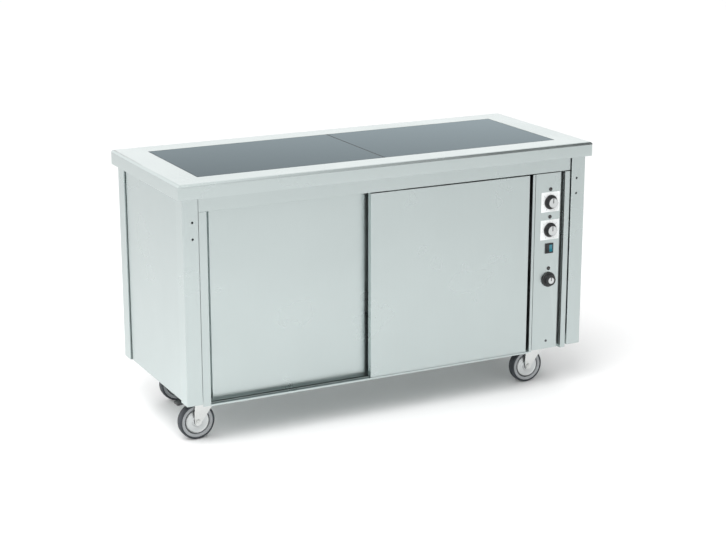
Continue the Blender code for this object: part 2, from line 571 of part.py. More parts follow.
def make_regulator(name, z):
    """Body behind the panel, with a bush through it and a bore for the spindle."""
    half = REGULATOR_SIZE / 2
    front = FRONT_PLANE + SHEET + GAP
    body = box(name, (CONTROL_X - half, front, z - half),
               (CONTROL_X + half, front + REGULATOR_DEPTH, z + half), "black_plastic")
    points = [(0, BUSH_FRONT), (BUSH_RADIUS, BUSH_FRONT), (BUSH_RADIUS, BUSH_REAR), (0, BUSH_REAR)]
    bush = turned(f"{name}_bush", points, "Y", None, (CONTROL_X, FRONT_PLANE, z), steps=16)
    combine(body, bush, "UNION")
    drill(body, f"{name}_bore", SPINDLE_RADIUS + GAP, "Y", -0.01, SPINDLE_BORE_END,
          (CONTROL_X, FRONT_PLANE, z))


def make_knob(name, z, radii):
    """Knob and spindle, turned about the spindle's axis, with a raised pointer."""
    skirt, grip, face = radii
    chamfer = 0.001
    points = [(0, SPINDLE_END), (SPINDLE_RADIUS, SPINDLE_END), (SPINDLE_RADIUS, KNOB_REAR),
              (skirt, KNOB_REAR), (skirt, SKIRT_FRONT), (grip, SKIRT_FRONT - chamfer),
              (face, KNOB_TIP + chamfer), (face - chamfer, KNOB_TIP), (0, KNOB_TIP)]
    knob = turned(name, points, "Y", "black_plastic", (CONTROL_X, FRONT_PLANE, z))
    tip = FRONT_PLANE + KNOB_TIP
    pointer = box(f"{name}_pointer", (CONTROL_X - POINTER_HALF, tip - POINTER_RISE, z + POINTER_START),
                  (CONTROL_X + POINTER_HALF, tip + 2 * chamfer, z + face - 2 * chamfer))
    combine(knob, pointer, "UNION")


def make_lamp(name, z):
    points = [(0, LAMP_END), (LAMP_RADIUS, LAMP_END), (LAMP_RADIUS, -GAP), (BEZEL_RADIUS, -GAP),
              (BEZEL_RADIUS, -0.0015), (0.0055, -0.0020), (0.0045, -0.0035), (0.0025, -0.0045),
              (0, LENS_TIP)]
    turned(name, points, "Y", "lamp_lens", (CONTROL_X, FRONT_PLANE, z), steps=20)


def switch_block(name, half, near, far, material=None):
    """A block centred on the switch; half gives its half sizes across and up."""
    return box(name, (CONTROL_X - half[0], near, SWITCH_HEIGHT - half[1]),
               (CONTROL_X + half[0], far, SWITCH_HEIGHT + half[1]), material)


def make_switch():
    front = FRONT_PLANE - GAP
    housing = switch_block("switch_housing", SWITCH_RIM, front - SWITCH_RIM_HEIGHT, front, "black_plastic")
    body = switch_block("switch_body", SWITCH_BODY, front - 0.001, front + SWITCH_BODY_DEPTH)
    combine(housing, body, "UNION")
    cavity = switch_block("switch_cavity", SWITCH_OPENING, front - 0.01, front + SWITCH_OPENING_DEPTH)
    combine(housing, cavity, "DIFFERENCE")

    half_width, half_height = ROCKER_HALF
    outline = [(-0.0060, -half_height), (-0.0042, 0), (-0.0060, half_height),
               (0.0000, half_height), (0.0050, 0.006), (0.0050, -0.006), (0.0000, -half_height)]
    shape = profile_shape(outline, "X", -half_width, half_width)
    bmesh.ops.rotate(shape, verts=shape.verts, cent=(0, 0, 0),
                     matrix=Matrix.Rotation(ROCKER_TILT, 3, "X"))
    make_object("switch_rocker", shape, "rocker_lens", (CONTROL_X, FRONT_PLANE + 0.001, SWITCH_HEIGHT))


def make_gland():
    """Cable gland on the back cover, with a bore for the supply lead."""
    points = [(GLAND_BORE, GLAND_INNER_END), (GLAND_THREAD, GLAND_INNER_END), (GLAND_THREAD, GAP),
              (GLAND_FLANGE, GAP), (GLAND_FLANGE, 0.008), (0.0115, 0.009), (0.0105, 0.018),
              (0.0070, GLAND_OUTER_END), (GLAND_BORE, GLAND_OUTER_END)]
    turned("cable_gland", points, "Y", "black_plastic",
           (GLAND_X, POST_OUTER_Y - COVER_RECESS, GLAND_Z), steps=20)


# ---------------------------------------------------------------- casters

def make_caster_plate(name, x, y):
    top = POST_BOTTOM - GAP
    low = top - PLATE_THICKNESS
    half_x, half_y = PLATE_LENGTH / 2, PLATE_WIDTH / 2
    plate = box(name, (x - half_x, y - half_y, low), (x + half_x, y + half_y, top), "zinc")
    race_top = low + PLATE_THICKNESS / 2
    race = turned(f"{name}_race", [(0, RACE_BOTTOM), (RACE_RADIUS - 0.004, RACE_BOTTOM),
                                   (RACE_RADIUS, RACE_BOTTOM + 0.004), (RACE_RADIUS, race_top), (0, race_top)],
                  "Z", None, (x, y, 0))
    combine(plate, race, "UNION")
    for number in range(4):
        hole_x = x + (half_x - PLATE_HOLE_INSET) * (1 if number % 2 else -1)
        hole_y = y + (half_y - PLATE_HOLE_INSET) * (1 if number // 2 else -1)
        drill(plate, f"{name}_hole_{number}", PLATE_HOLE_RADIUS, "Z", -0.01, 0.01, (hole_x, hole_y, top))


def leg_outline(way):
    """Side view of a fork leg, from the crown down round the axle; way is the side it trails to."""
    top = CROWN_HALF_LENGTH - LEG_THICKNESS
    crown = CROWN_TOP - FORK_STEP
    arc = [(TRAIL + AXLE_BOSS * math.cos(a), WHEEL_RADIUS + AXLE_BOSS * math.sin(a))
           for a in (math.radians(-180 * i / 6) for i in range(7))]
    points = [(-top, crown), (0.050, crown), (0.0525, 0.095), *arc, (-0.010, 0.112), (-top, 0.126)]
    return [(way * x, z) for x, z in points]


def make_fork(name, x, y, way, brake):
    """Crown, two legs and the axle, with a cross pin where a brake pedal hinges."""
    leg_outer = LEG_INNER + LEG_THICKNESS
    crown_half = leg_outer - FORK_STEP
    fork = box(name, (-CROWN_HALF_LENGTH, -crown_half, CROWN_BOTTOM),
               (CROWN_HALF_LENGTH, crown_half, CROWN_TOP), "zinc")
    fork.data.transform(Matrix.Translation(fork.location))
    fork.location = (x, y, 0)
    stem = [(0, CROWN_BOTTOM + 0.001), (STEM_RADIUS, CROWN_BOTTOM + 0.001),
            (STEM_RADIUS, RACE_BOTTOM - 0.0005), (0, RACE_BOTTOM - 0.0005)]
    combine(fork, turned(f"{name}_boss", stem, "Z", None, (x, y, 0)), "UNION")
    add_to_legs(fork, "leg", leg_outline(way), LEG_INNER, leg_outer, x, y)
    reach = leg_outer + AXLE_NUT_REACH
    nut_back = reach - AXLE_NUT_HEIGHT
    half = [(0, -reach), (AXLE_NUT_RADIUS, -reach), (AXLE_NUT_RADIUS, -nut_back), (AXLE_RADIUS, -nut_back)]
    points = half + [(radius, -place) for radius, place in reversed(half)]
    axle = turned(f"{name}_axle", points, "Y", None, (x + way * TRAIL, y, WHEEL_RADIUS), steps=12)
    combine(fork, axle, "UNION")
    if brake:
        lug = [(way * place, height) for place, height in LUG]
        add_to_legs(fork, "lug", lug, LEG_INNER + FORK_STEP, leg_outer - FORK_STEP, x, y)
        end = reach - 0.005
        points = [(0, -end), (PIN_RADIUS, -end), (PIN_RADIUS, end), (0, end)]
        pin = turned(f"{name}_pin", points, "Y", None, (x + way * PEDAL_PIVOT, y, PEDAL_PIVOT_HEIGHT),
                     steps=12)
        combine(fork, pin, "UNION")


def add_to_legs(fork, label, outline, inner, outer, x, y):
    """Adds one plate of the outline to each side of the fork."""
    for sign, side in ((-1, "front"), (1, "rear")):
        ys = sorted((sign * inner, sign * outer))
        plate = profile(f"{fork.name}_{label}_{side}", outline, "Y", *ys, None, (x, y, 0))
        combine(fork, plate, "UNION")


def make_wheel(name, x, y, way):
    """Tyre, rim and hub in one turned section about the axle."""
    half, bore = TYRE_WIDTH / 2, AXLE_RADIUS + 2 * GAP
    side = [(bore, HUB_HALF), (0.014, HUB_HALF), (0.016, 0.010), (0.040, 0.009),
            (0.042, 0.0140), (0.052, half - 0.001), (0.058, half), (WHEEL_RADIUS, half - WHEEL_SHOULDER)]
    points = side + [(radius, -place) for radius, place in reversed(side)]
    turned(name, points, "Y", "tyre", (x + way * TRAIL, y, WHEEL_RADIUS), steps=28)


def make_pedal(name, x, y, way):
    """Brake pedal hinged on the fork's cross pin, above the tyre."""
    reach = PEDAL_TIP - PEDAL_PIVOT
    outline = [(-0.006, -0.0035), (0.010, -0.0035), (reach - 0.006, -0.0075), (reach, -0.0060),
               (reach, -0.0025), (reach - 0.008, 0.0015), (0.010, 0.0040), (-0.006, 0.0035)]
    pivot = (x + way * PEDAL_PIVOT, y, PEDAL_PIVOT_HEIGHT)
    pedal = profile(name, [(way * a, b) for a, b in outline], "Y", -PEDAL_HALF_WIDTH, PEDAL_HALF_WIDTH,
                    "black_plastic", pivot)
    drill(pedal, f"{name}_bore", PEDAL_BORE, "Y", -0.03, 0.03, pivot)


def make_casters():
    places = {"front_left": (STEM_LEFT_X, -CASTER_Y, -1), "front_right": (STEM_RIGHT_X, -CASTER_Y, -1),
              "rear_left": (STEM_LEFT_X, CASTER_Y, 1), "rear_right": (STEM_RIGHT_X, CASTER_Y, 1)}
    for place, (x, y, way) in places.items():
        brake = place.startswith("front")
        make_caster_plate(f"caster_plate_{place}", x, y)
        make_fork(f"caster_fork_{place}", x, y, way, brake)
        make_wheel(f"caster_wheel_{place}", x, y, way)
        if brake:
            make_pedal(f"brake_pedal_{place}", x, y, way)


def build():
    clear_scene()
    make_worktop()
    make_glass()
    make_seal()
    make_hot_plate_heaters()
    make_posts()
    make_covers()
    make_base_pan()
    make_front_frame()
    make_door_track()
    make_bottom_rail()
    make_door("left", DOOR_LEFT_START)
    make_door("right", DOOR_RIGHT_START)
    make_liner()
    make_cupboard_shelves()
    make_cupboard_heater()
    make_control_panel()
    make_dial_plate("dial_plate_upper", UPPER_KNOB_HEIGHT)
    make_dial_plate("dial_plate_lower", LOWER_KNOB_HEIGHT)
    make_regulator("regulator_upper", UPPER_KNOB_HEIGHT)
    make_regulator("regulator_lower", LOWER_KNOB_HEIGHT)
    make_regulator("thermostat", THERMOSTAT_HEIGHT)
    make_knob("knob_upper", UPPER_KNOB_HEIGHT, PLATE_KNOB)
    make_knob("knob_lower", LOWER_KNOB_HEIGHT, PLATE_KNOB)
    make_knob("knob_thermostat", THERMOSTAT_HEIGHT, THERMOSTAT_KNOB)
    for name, z in LAMP_HEIGHTS.items():
        make_lamp(name, z)
    make_switch()
    make_gland()
    make_casters()


build()
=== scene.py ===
import json
import math

import bmesh
import bpy
from mathutils import Matrix, Vector

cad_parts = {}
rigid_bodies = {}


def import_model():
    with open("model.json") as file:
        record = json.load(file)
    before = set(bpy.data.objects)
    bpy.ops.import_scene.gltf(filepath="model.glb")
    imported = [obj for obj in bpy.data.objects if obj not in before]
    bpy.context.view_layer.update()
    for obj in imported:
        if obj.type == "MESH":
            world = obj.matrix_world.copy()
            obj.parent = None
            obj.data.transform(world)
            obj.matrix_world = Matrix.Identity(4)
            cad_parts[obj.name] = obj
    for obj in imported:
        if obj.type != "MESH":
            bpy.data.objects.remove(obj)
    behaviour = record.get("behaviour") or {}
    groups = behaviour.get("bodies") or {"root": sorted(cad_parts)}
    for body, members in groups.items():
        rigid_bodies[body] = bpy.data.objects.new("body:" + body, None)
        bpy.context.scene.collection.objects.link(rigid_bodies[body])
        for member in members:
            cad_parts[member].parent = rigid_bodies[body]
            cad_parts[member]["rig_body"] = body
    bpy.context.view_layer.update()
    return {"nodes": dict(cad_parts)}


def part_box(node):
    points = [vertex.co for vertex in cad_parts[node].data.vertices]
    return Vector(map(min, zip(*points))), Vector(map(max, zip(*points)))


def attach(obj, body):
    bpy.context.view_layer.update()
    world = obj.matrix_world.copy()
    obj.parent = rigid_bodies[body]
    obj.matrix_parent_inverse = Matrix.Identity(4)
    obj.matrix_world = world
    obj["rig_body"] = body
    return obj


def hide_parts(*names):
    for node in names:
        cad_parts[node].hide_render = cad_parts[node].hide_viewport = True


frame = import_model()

bl_info = {
    "name": "Heated Serving Counter",
    "version": (1, 0, 0),
    "blender": (4, 5, 0),
    "location": "3D View > Sidebar > Counter",
    "description": "Builds the finished look of a mobile counter with glass hot plates and a hot cupboard",
    "category": "Object",
}

BODY_OF = {node: item["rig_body"] for node, item in frame["nodes"].items()}
CASTERS = {"front_left": -1, "front_right": -1, "rear_left": 1, "rear_right": 1}   # side each one trails to
JAMB_RIGHT_WALL = 0.6840                      # left face of the end strip, beside the control panel's groove
PANEL_SCREW = (0.622, 0.180)                  # across and up
PLUG_STARTS = {"left": (-0.745, 0.281, 0), "right": (0.690, 0.264, 0)}
PLUG_STEP = (0.0175, -0.004)                  # from one corner plug to the next
WHEEL_HALF = 0.016                            # half of the tyre's width
SHARP = math.radians(32)
FOLD_ANGLE = math.radians(60)
DIAL_START, DIAL_TURN = -150, 300             # degrees
LENGTHWISE, UPRIGHT = (9.0, 900.0, 900.0), (900.0, 900.0, 9.0)     # stretch of the steel's grain
COLOUR = {"subtype": "COLOR", "size": 3, "min": 0.0, "max": 1.0}


def length(name, text, value):
    """A size in metres for a property group."""
    return bpy.props.FloatProperty(name=name, description=text, default=value, min=0.0,
                                   subtype="DISTANCE", unit="LENGTH")


def colour(name, text, value):
    """A colour for a property group."""
    return bpy.props.FloatVectorProperty(name=name, description=text, default=value, **COLOUR)


def share(name, text, value):
    """A share from 0 to 1 for a property group."""
    return bpy.props.FloatProperty(name=name, description=text, default=value, min=0.0, max=1.0,
                                   subtype="FACTOR")


# ---------------------------------------------------------------- settings

class SheetSettings(bpy.types.PropertyGroup):
    body_colour: colour("Body steel", "Colour of the satin steel covers", (0.480, 0.535, 0.530))
    top_colour: colour("Worktop steel", "Colour of the worktop's steel", (0.490, 0.545, 0.540))
    liner_colour: colour("Liner steel", "Colour of the cupboard's inner sheet", (0.52, 0.55, 0.55))
    roughness: share("Satin roughness", "Roughness of the brushed finish", 0.30)
    bend: length("Bend radius", "Outer radius of a folded sheet edge", 0.0014)
    deburr: length("Deburred edge", "Radius of a cut sheet edge", 0.0003)


class WorktopSettings(bpy.types.PropertyGroup):
    edge_height: length("Edge height", "Height of the turned-down edge", 0.050)
    edge_radius: length("Edge radius", "Radius of the top edge", 0.011)
    corner_flat: length("Corner flat", "Width ground off each welded corner", 0.0020)
    sheet: length("Sheet", "Thickness of the worktop's sheet", 0.002)
    lip: length("Lip", "Width of the fold under the edge", 0.0145)
    ledge: length("Ledge", "Width of the ledge under the glass", 0.012)
    polish_colour: colour("Glass polish", "Tint of the light mirrored in the glass", (0.80, 0.94, 1.0))
    glass_colour: colour("Glass", "Body colour of the glass ceramic", (0.006, 0.010, 0.012))


class ControlSettings(bpy.types.PropertyGroup):
    plastic_colour: colour("Knob plastic", "Colour of the knobs and the switch", (0.013, 0.014, 0.015))
    cap_colour: colour("Knob cap", "Colour of the satin aluminium caps", (0.60, 0.62, 0.62))
    plate_colour: colour("Dial plate", "Colour of the printed dial plates", (0.66, 0.68, 0.68))
    lens_colour: colour("Lamp lens", "Colour of the unlit lamp lenses", (0.012, 0.008, 0.008))
    rocker_colour: colour("Rocker window", "Colour of the rocker's clear part", (0.008, 0.090, 0.120))
    flutes: bpy.props.IntProperty(name="Flutes", description="Grip flutes round a knob", default=24, min=8)


class CasterSettings(bpy.types.PropertyGroup):
    tyre_colour: colour("Tyre", "Colour of the rubber tyre", (0.026, 0.031, 0.037))
    disc_colour: colour("Wheel disc", "Colour of the wheel's side disc", (0.56, 0.58, 0.58))
    zinc_colour: colour("Zinc plate", "Colour of the zinc-plated forks", (0.62, 0.63, 0.62))
    crown: length("Tread crown", "Rounding of the tread's shoulders", 0.004)


class StageSettings(bpy.types.PropertyGroup):
    floor_colour: colour("Floor", "Colour of the plain floor", (0.90, 0.90, 0.90))
    sky: bpy.props.FloatProperty(name="Fill light", description="Strength of the even fill",
                                 default=1.32, min=0.0)
    dark_from: bpy.props.FloatProperty(name="Unlit side", default=0.37, min=0.0, max=0.85,
                                       description="How far to the right the studio's unlit side begins")
    dark_share: share("Unlit share", "Share of the fill light left on the unlit side", 0.06)
    key: bpy.props.FloatProperty(name="Key light", description="Power of the large lamp", default=75.0,
                                 min=0.0, unit="POWER")
    lens: bpy.props.FloatProperty(name="Lens", description="Focal length in millimetres",
                                  default=85.7, min=10.0)


# ---------------------------------------------------------------- shapes

def cuboid(low, high):
    """A block between two corners."""
    low, high = Vector(low), Vector(high)
    shape = bmesh.new()
    place = Matrix.Translation((low + high) / 2) @ Matrix.Diagonal((*(high - low), 1))
    bmesh.ops.create_cube(shape, size=1.0, matrix=place)
    return shape


def round_edges(shape, edges, radius, steps):
    """Rounds the given edges."""
    edges = list(edges)
    if edges:
        bmesh.ops.bevel(shape, geom=edges, offset=radius, segments=steps, profile=0.5,
                        affect="EDGES", clamp_overlap=True, material=-1)
    return shape


def edges_along(shape, axis):
    """Edges that run along an axis, given as 0, 1 or 2."""
    return [e for e in shape.edges
            if abs((e.verts[0].co - e.verts[1].co).normalized()[axis]) > 0.99]


def sharp_edges(shape, angle=SHARP):
    """Edges between two faces that meet at more than the angle."""
    return [e for e in shape.edges if len(e.link_faces) == 2 and e.calc_face_angle(0) > angle]


def turn_about(shape, axis, angle=math.pi / 2):
    """Turns a shape about an axis through the origin."""
    bmesh.ops.rotate(shape, verts=shape.verts, cent=(0, 0, 0), matrix=Matrix.Rotation(angle, 3, axis))


def move(shape, way):
    """Moves a whole shape."""
    bmesh.ops.translate(shape, verts=shape.verts, vec=way)


def cut_off(shape, point, outward):
    """Cuts away what lies outside a plane, and closes the cut."""
    cut = bmesh.ops.bisect_plane(shape, geom=shape.verts[:] + shape.edges[:] + shape.faces[:], dist=1e-7,
                                 plane_co=point, plane_no=outward, clear_outer=True)
    rim = [g for g in cut["geom_cut"] if isinstance(g, bmesh.types.BMEdge)]
    if rim:
        bmesh.ops.holes_fill(shape, edges=rim)


def mirrored(points):
    """An outline of (radius, place) points carried on to the other side of the middle."""
    return points + [(radius, -place) for radius, place in reversed(points)]


def soft_block(low, high, radius, steps=2):
    """A block with all its edges rounded."""
    shape = cuboid(low, high)
    return round_edges(shape, shape.edges, radius, steps)


def turned(points, centre, axis, steps=48):
    """A solid turned about an axis through the centre; points are (radius, place along the axis)."""
    shape = bmesh.new()
    along = Vector({"X": (1, 0, 0), "Y": (0, 1, 0), "Z": (0, 0, 1)}[axis])
    out = Vector((0, 0, 1)) if axis != "Z" else Vector((1, 0, 0))
    corners = [shape.verts.new(out * radius + along * place) for radius, place in points]
    for first, second in zip(corners, corners[1:]):
        shape.edges.new((first, second))
    bmesh.ops.spin(shape, geom=shape.verts[:] + shape.edges[:], cent=(0, 0, 0), axis=along,
                   angle=math.tau, steps=steps, use_merge=True)
    bmesh.ops.remove_doubles(shape, verts=shape.verts, dist=1e-6)
    bmesh.ops.recalc_face_normals(shape, faces=shape.faces)
    move(shape, centre)
    return shape


def hexagon(centre, axis, across, low, high):
    """A hexagon nut or bolt head, across its flats, with its outer corners eased."""
    shape = bmesh.new()
    bmesh.ops.create_cone(shape, cap_ends=True, segments=6, radius1=across / 1.732, radius2=across / 1.732,
                          depth=high - low)
    round_edges(shape, sharp_edges(shape), 0.0005, 2)
    if axis == "Y":
        turn_about(shape, "X")
        place = Vector((0, (low + high) / 2, 0))
    else:
        place = Vector((0, 0, (low + high) / 2))
    move(shape, Vector(centre) + place)
    return shape


def merged_copy(node):
    """The node's own shape with its loose triangles merged into whole faces."""
    shape = bmesh.new()
    shape.from_mesh(frame["nodes"][node].data)
    bmesh.ops.remove_doubles(shape, verts=shape.verts, dist=2e-6)
    bmesh.ops.dissolve_limit(shape, angle_limit=math.radians(0.6), use_dissolve_boundaries=False,
                             verts=shape.verts[:], edges=shape.edges[:])
    bmesh.ops.recalc_face_normals(shape, faces=shape.faces)
    return shape


def on_side(shape, side):
    """Outline edges of the flat face that looks to one side, such as (0, -1, 0)."""
    side = Vector(side)
    reach = max(v.co.dot(side) for v in shape.verts)
    return [e for e in sharp_edges(shape) if all(v.co.dot(side) > reach - 1e-5 for v in e.verts)]


def add_shape(shape, other):
    """Adds a second bmesh to the first, as one more shell of the same piece."""
    mesh = bpy.data.meshes.new("join")
    other.to_mesh(mesh)
    other.free()
    shape.from_mesh(mesh)
    bpy.data.meshes.remove(mesh)
    return shape


def finish(name, shape, material, body, replaces=(), flat=True):
    """Makes the piece: smooth faces with crisp edges, its material, its body and what it stands for."""
    mesh = bpy.data.meshes.new(name)
    shape.to_mesh(mesh)
    shape.free()
    mesh.shade_smooth()
    mesh.set_sharp_from_angle(angle=SHARP)
    mesh.materials.append(material)
    item = bpy.data.objects.new(name, mesh)
    bpy.context.scene.collection.objects.link(item)
    if flat:
        even = item.modifiers.new("even_faces", "WEIGHTED_NORMAL")
        even.keep_sharp = True
        even.weight = 100
    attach(item, body)
    if replaces:
        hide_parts(*replaces)
    return item


def folded(node, material, front=None, bend=None):
    """A finished copy of a sheet part: folds round its front face, and deburred edges elsewhere."""
    sheet = bpy.context.scene.counter_sheet
    shape = merged_copy(node)
    if front:
        round_edges(shape, on_side(shape, front), bend or sheet.bend, 3)
    round_edges(shape, sharp_edges(shape, FOLD_ANGLE), sheet.deburr, 1)
    return finish(node + "_finished", shape, material, BODY_OF[node], (node,))


def eased(node, material, radius, steps=2):
    """A finished copy of a moulded or machined part with all its corners eased."""
    shape = merged_copy(node)
    round_edges(shape, sharp_edges(shape), radius, steps)
    return finish(node + "_finished", shape, material, BODY_OF[node], (node,))


# ---------------------------------------------------------------- materials

def group(name, inputs, outputs):
    """A shader node group with its sockets; returns it with its input and output nodes."""
    tree = bpy.data.node_groups.new(name, "ShaderNodeTree")
    for label, kind, value in inputs:
        socket = tree.interface.new_socket(name=label, in_out="INPUT", socket_type=kind)
        socket.default_value = value
    for label, kind in outputs:
        tree.interface.new_socket(name=label, in_out="OUTPUT", socket_type=kind)
    return tree, tree.nodes.new("NodeGroupInput"), tree.nodes.new("NodeGroupOutput")


def new_node(tree, kind, values=()):
    """A shader node with some of its inputs set, as (label, value) pairs."""
    node = tree.nodes.new("ShaderNode" + kind)
    for label, value in values:
        node.inputs[label].default_value = value
    return node


def product(tree, first, second):
    """The product of two values."""
    node = new_node(tree, "Math")
    node.operation = "MULTIPLY"
    tree.links.new(first, node.inputs[0])
    tree.links.new(second, node.inputs[1])
    return node.outputs["Value"]


def brushed_grain():
    """Fine scratches drawn out along one axis: a value and a normal."""
    if "brushed_grain" in bpy.data.node_groups:
        return bpy.data.node_groups["brushed_grain"]
    tree, given, made = group("brushed_grain",
                              [("Stretch", "NodeSocketVector", (1.0, 1.0, 1.0)),
                               ("Depth", "NodeSocketFloat", 0.05)],
                              [("Grain", "NodeSocketFloat"), ("Normal", "NodeSocketVector")])
    links = tree.links
    place = new_node(tree, "TexCoord")
    spread = new_node(tree, "VectorMath")
    spread.operation = "MULTIPLY"
    fine = new_node(tree, "TexNoise", (("Scale", 1.0), ("Detail", 5.0), ("Roughness", 0.65)))
    bump = new_node(tree, "Bump", (("Distance", 0.0004),))
    links.new(place.outputs["Object"], spread.inputs[0])
    links.new(given.outputs["Stretch"], spread.inputs[1])
    links.new(spread.outputs[0], fine.inputs["Vector"])
    links.new(fine.outputs["Fac"], bump.inputs["Height"])
    links.new(given.outputs["Depth"], bump.inputs["Strength"])
    links.new(fine.outputs["Fac"], made.inputs["Grain"])
    links.new(bump.outputs["Normal"], made.inputs["Normal"])
    return tree


def handling_marks():
    """Broad soft patches, as left by wiping and handling."""
    if "handling_marks" in bpy.data.node_groups:
        return bpy.data.node_groups["handling_marks"]
    tree, given, made = group("handling_marks",
                              [("Scale", "NodeSocketFloat", 4.0), ("Low", "NodeSocketFloat", 0.0),
                               ("High", "NodeSocketFloat", 1.0)],
                              [("Mask", "NodeSocketFloat")])
    links = tree.links
    place = new_node(tree, "TexCoord")
    cloud = new_node(tree, "TexNoise", (("Detail", 3.0), ("Roughness", 0.55)))
    limit = new_node(tree, "MapRange", (("From Min", 0.30), ("From Max", 0.70)))
    limit.interpolation_type = "SMOOTHSTEP"
    links.new(place.outputs["Object"], cloud.inputs["Vector"])
    links.new(given.outputs["Scale"], cloud.inputs["Scale"])
    links.new(cloud.outputs["Fac"], limit.inputs["Value"])
    links.new(given.outputs["Low"], limit.inputs["To Min"])
    links.new(given.outputs["High"], limit.inputs["To Max"])
    links.new(limit.outputs["Result"], made.inputs["Mask"])
    return tree


def worn_edge():
    """A mask that is 1 on exposed edges and 0 on flats."""
    if "worn_edge" in bpy.data.node_groups:
        return bpy.data.node_groups["worn_edge"]
    tree, given, made = group("worn_edge", [("Amount", "NodeSocketFloat", 0.5)],
                              [("Mask", "NodeSocketFloat")])
    links = tree.links
    form = new_node(tree, "NewGeometry")
    limit = new_node(tree, "MapRange", (("From Min", 0.53), ("From Max", 0.62)))
    links.new(form.outputs["Pointiness"], limit.inputs["Value"])
    links.new(given.outputs["Amount"], limit.inputs["To Max"])
    links.new(limit.outputs["Result"], made.inputs["Mask"])
    return tree


def place_group(material, tree, **values):
    """Puts a node group into a material with its own values."""
    node = new_node(material.node_tree, "Group")
    node.node_tree = tree
    for label, value in values.items():
        node.inputs[label].default_value = value
    return node


def new_material(name):
    """A material with its Principled shader."""
    material = bpy.data.materials.new(name)
    material.use_nodes = True
    return material, material.node_tree.nodes["Principled BSDF"]


def mixed_colour(material, mask, first, second):
    """A colour that goes from the first to the second with the mask."""
    mix = new_node(material.node_tree, "Mix")
    mix.data_type = "RGBA"
    mix.inputs["A"].default_value = (*first, 1)
    mix.inputs["B"].default_value = (*second, 1)
    material.node_tree.links.new(mask, mix.inputs["Factor"])
    return mix.outputs["Result"]


def mapped(material, value, low, high):
    """A value from 0 to 1 spread between two numbers."""
    limit = new_node(material.node_tree, "MapRange", (("To Min", low), ("To Max", high)))
    material.node_tree.links.new(value, limit.inputs["Value"])
    return limit.outputs["Result"]


def tint(base, amount):
    """A lighter or darker version of a colour."""
    return tuple(min(1.0, part * amount) for part in base)


def steel(name, base, roughness, stretch, depth=0.05, contrast=0.05):
    """Brushed stainless steel with fine grain and faint handling marks."""
    if name in bpy.data.materials:
        return bpy.data.materials[name]
    material, shader = new_material(name)
    links = material.node_tree.links
    grain = place_group(material, brushed_grain(), Stretch=stretch, Depth=depth)
    marks = place_group(material, handling_marks(), Scale=3.2, Low=roughness - 0.035, High=roughness + 0.035)
    wear = place_group(material, worn_edge(), Amount=0.25)
    ground = mixed_colour(material, grain.outputs["Grain"],
                          tint(base, 1 - contrast), tint(base, 1 + contrast))
    lift = new_node(material.node_tree, "Mix")
    lift.data_type = "RGBA"
    lift.inputs["B"].default_value = (*tint(base, 1.25), 1)
    links.new(wear.outputs["Mask"], lift.inputs["Factor"])
    links.new(ground, lift.inputs["A"])
    links.new(lift.outputs["Result"], shader.inputs["Base Color"])
    links.new(marks.outputs["Mask"], shader.inputs["Roughness"])
    links.new(grain.outputs["Normal"], shader.inputs["Normal"])
    shader.inputs["Metallic"].default_value = 1.0
    return material


def plastic(name, base, roughness, texture=900.0, depth=0.08, coat=0.0):
    """Moulded plastic with a fine spark-eroded texture and paler worn corners."""
    if name in bpy.data.materials:
        return bpy.data.materials[name]
    material, shader = new_material(name)
    links = material.node_tree.links
    grain = place_group(material, brushed_grain(), Stretch=(texture, texture, texture), Depth=depth)
    wear = place_group(material, worn_edge(), Amount=0.6)
    marks = place_group(material, handling_marks(), Scale=40.0, Low=roughness - 0.05, High=roughness + 0.06)
    links.new(mixed_colour(material, wear.outputs["Mask"], base, tuple(part * 1.5 + 0.012 for part in base)),
              shader.inputs["Base Color"])
    links.new(marks.outputs["Mask"], shader.inputs["Roughness"])
    links.new(grain.outputs["Normal"], shader.inputs["Normal"])
    shader.inputs["Coat Weight"].default_value = coat
    return material


def body_steel(upright=True):
    """Covers and doors: the grain runs up the sheet, or along it on the long rails."""
    sheet = bpy.context.scene.counter_sheet
    name = "satin_steel_upright" if upright else "satin_steel_lengthwise"
    grain = UPRIGHT if upright else LENGTHWISE
    return steel(name, tuple(sheet.body_colour), sheet.roughness, grain, 0.04, 0.03)


def top_steel():
    sheet = bpy.context.scene.counter_sheet
    return steel("brushed_top_steel", tuple(sheet.top_colour), sheet.roughness - 0.04, LENGTHWISE, 0.03, 0.02)


def liner_steel():
    sheet = bpy.context.scene.counter_sheet
    return steel("brushed_liner_steel", tuple(sheet.liner_colour), sheet.roughness + 0.08,
                 (60.0, 500.0, 500.0), 0.06, 0.06)


def zinc():
    casters = bpy.context.scene.counter_casters
    return steel("bright_zinc", tuple(casters.zinc_colour), 0.32, (220.0, 220.0, 220.0), 0.10, 0.12)


def sheathed_element():
    """Heat-darkened element sheath, browner in patches."""
    return steel("heat_darkened_sheath", (0.20, 0.185, 0.165), 0.42, (350.0, 350.0, 350.0), 0.12, 0.25)


def black_plastic():
    controls = bpy.context.scene.counter_controls
    return plastic("moulded_black_plastic", tuple(controls.plastic_colour), 0.38)


def seal_rubber():
    return plastic("silicone_seal", (0.030, 0.032, 0.032), 0.55, texture=500.0, depth=0.1)


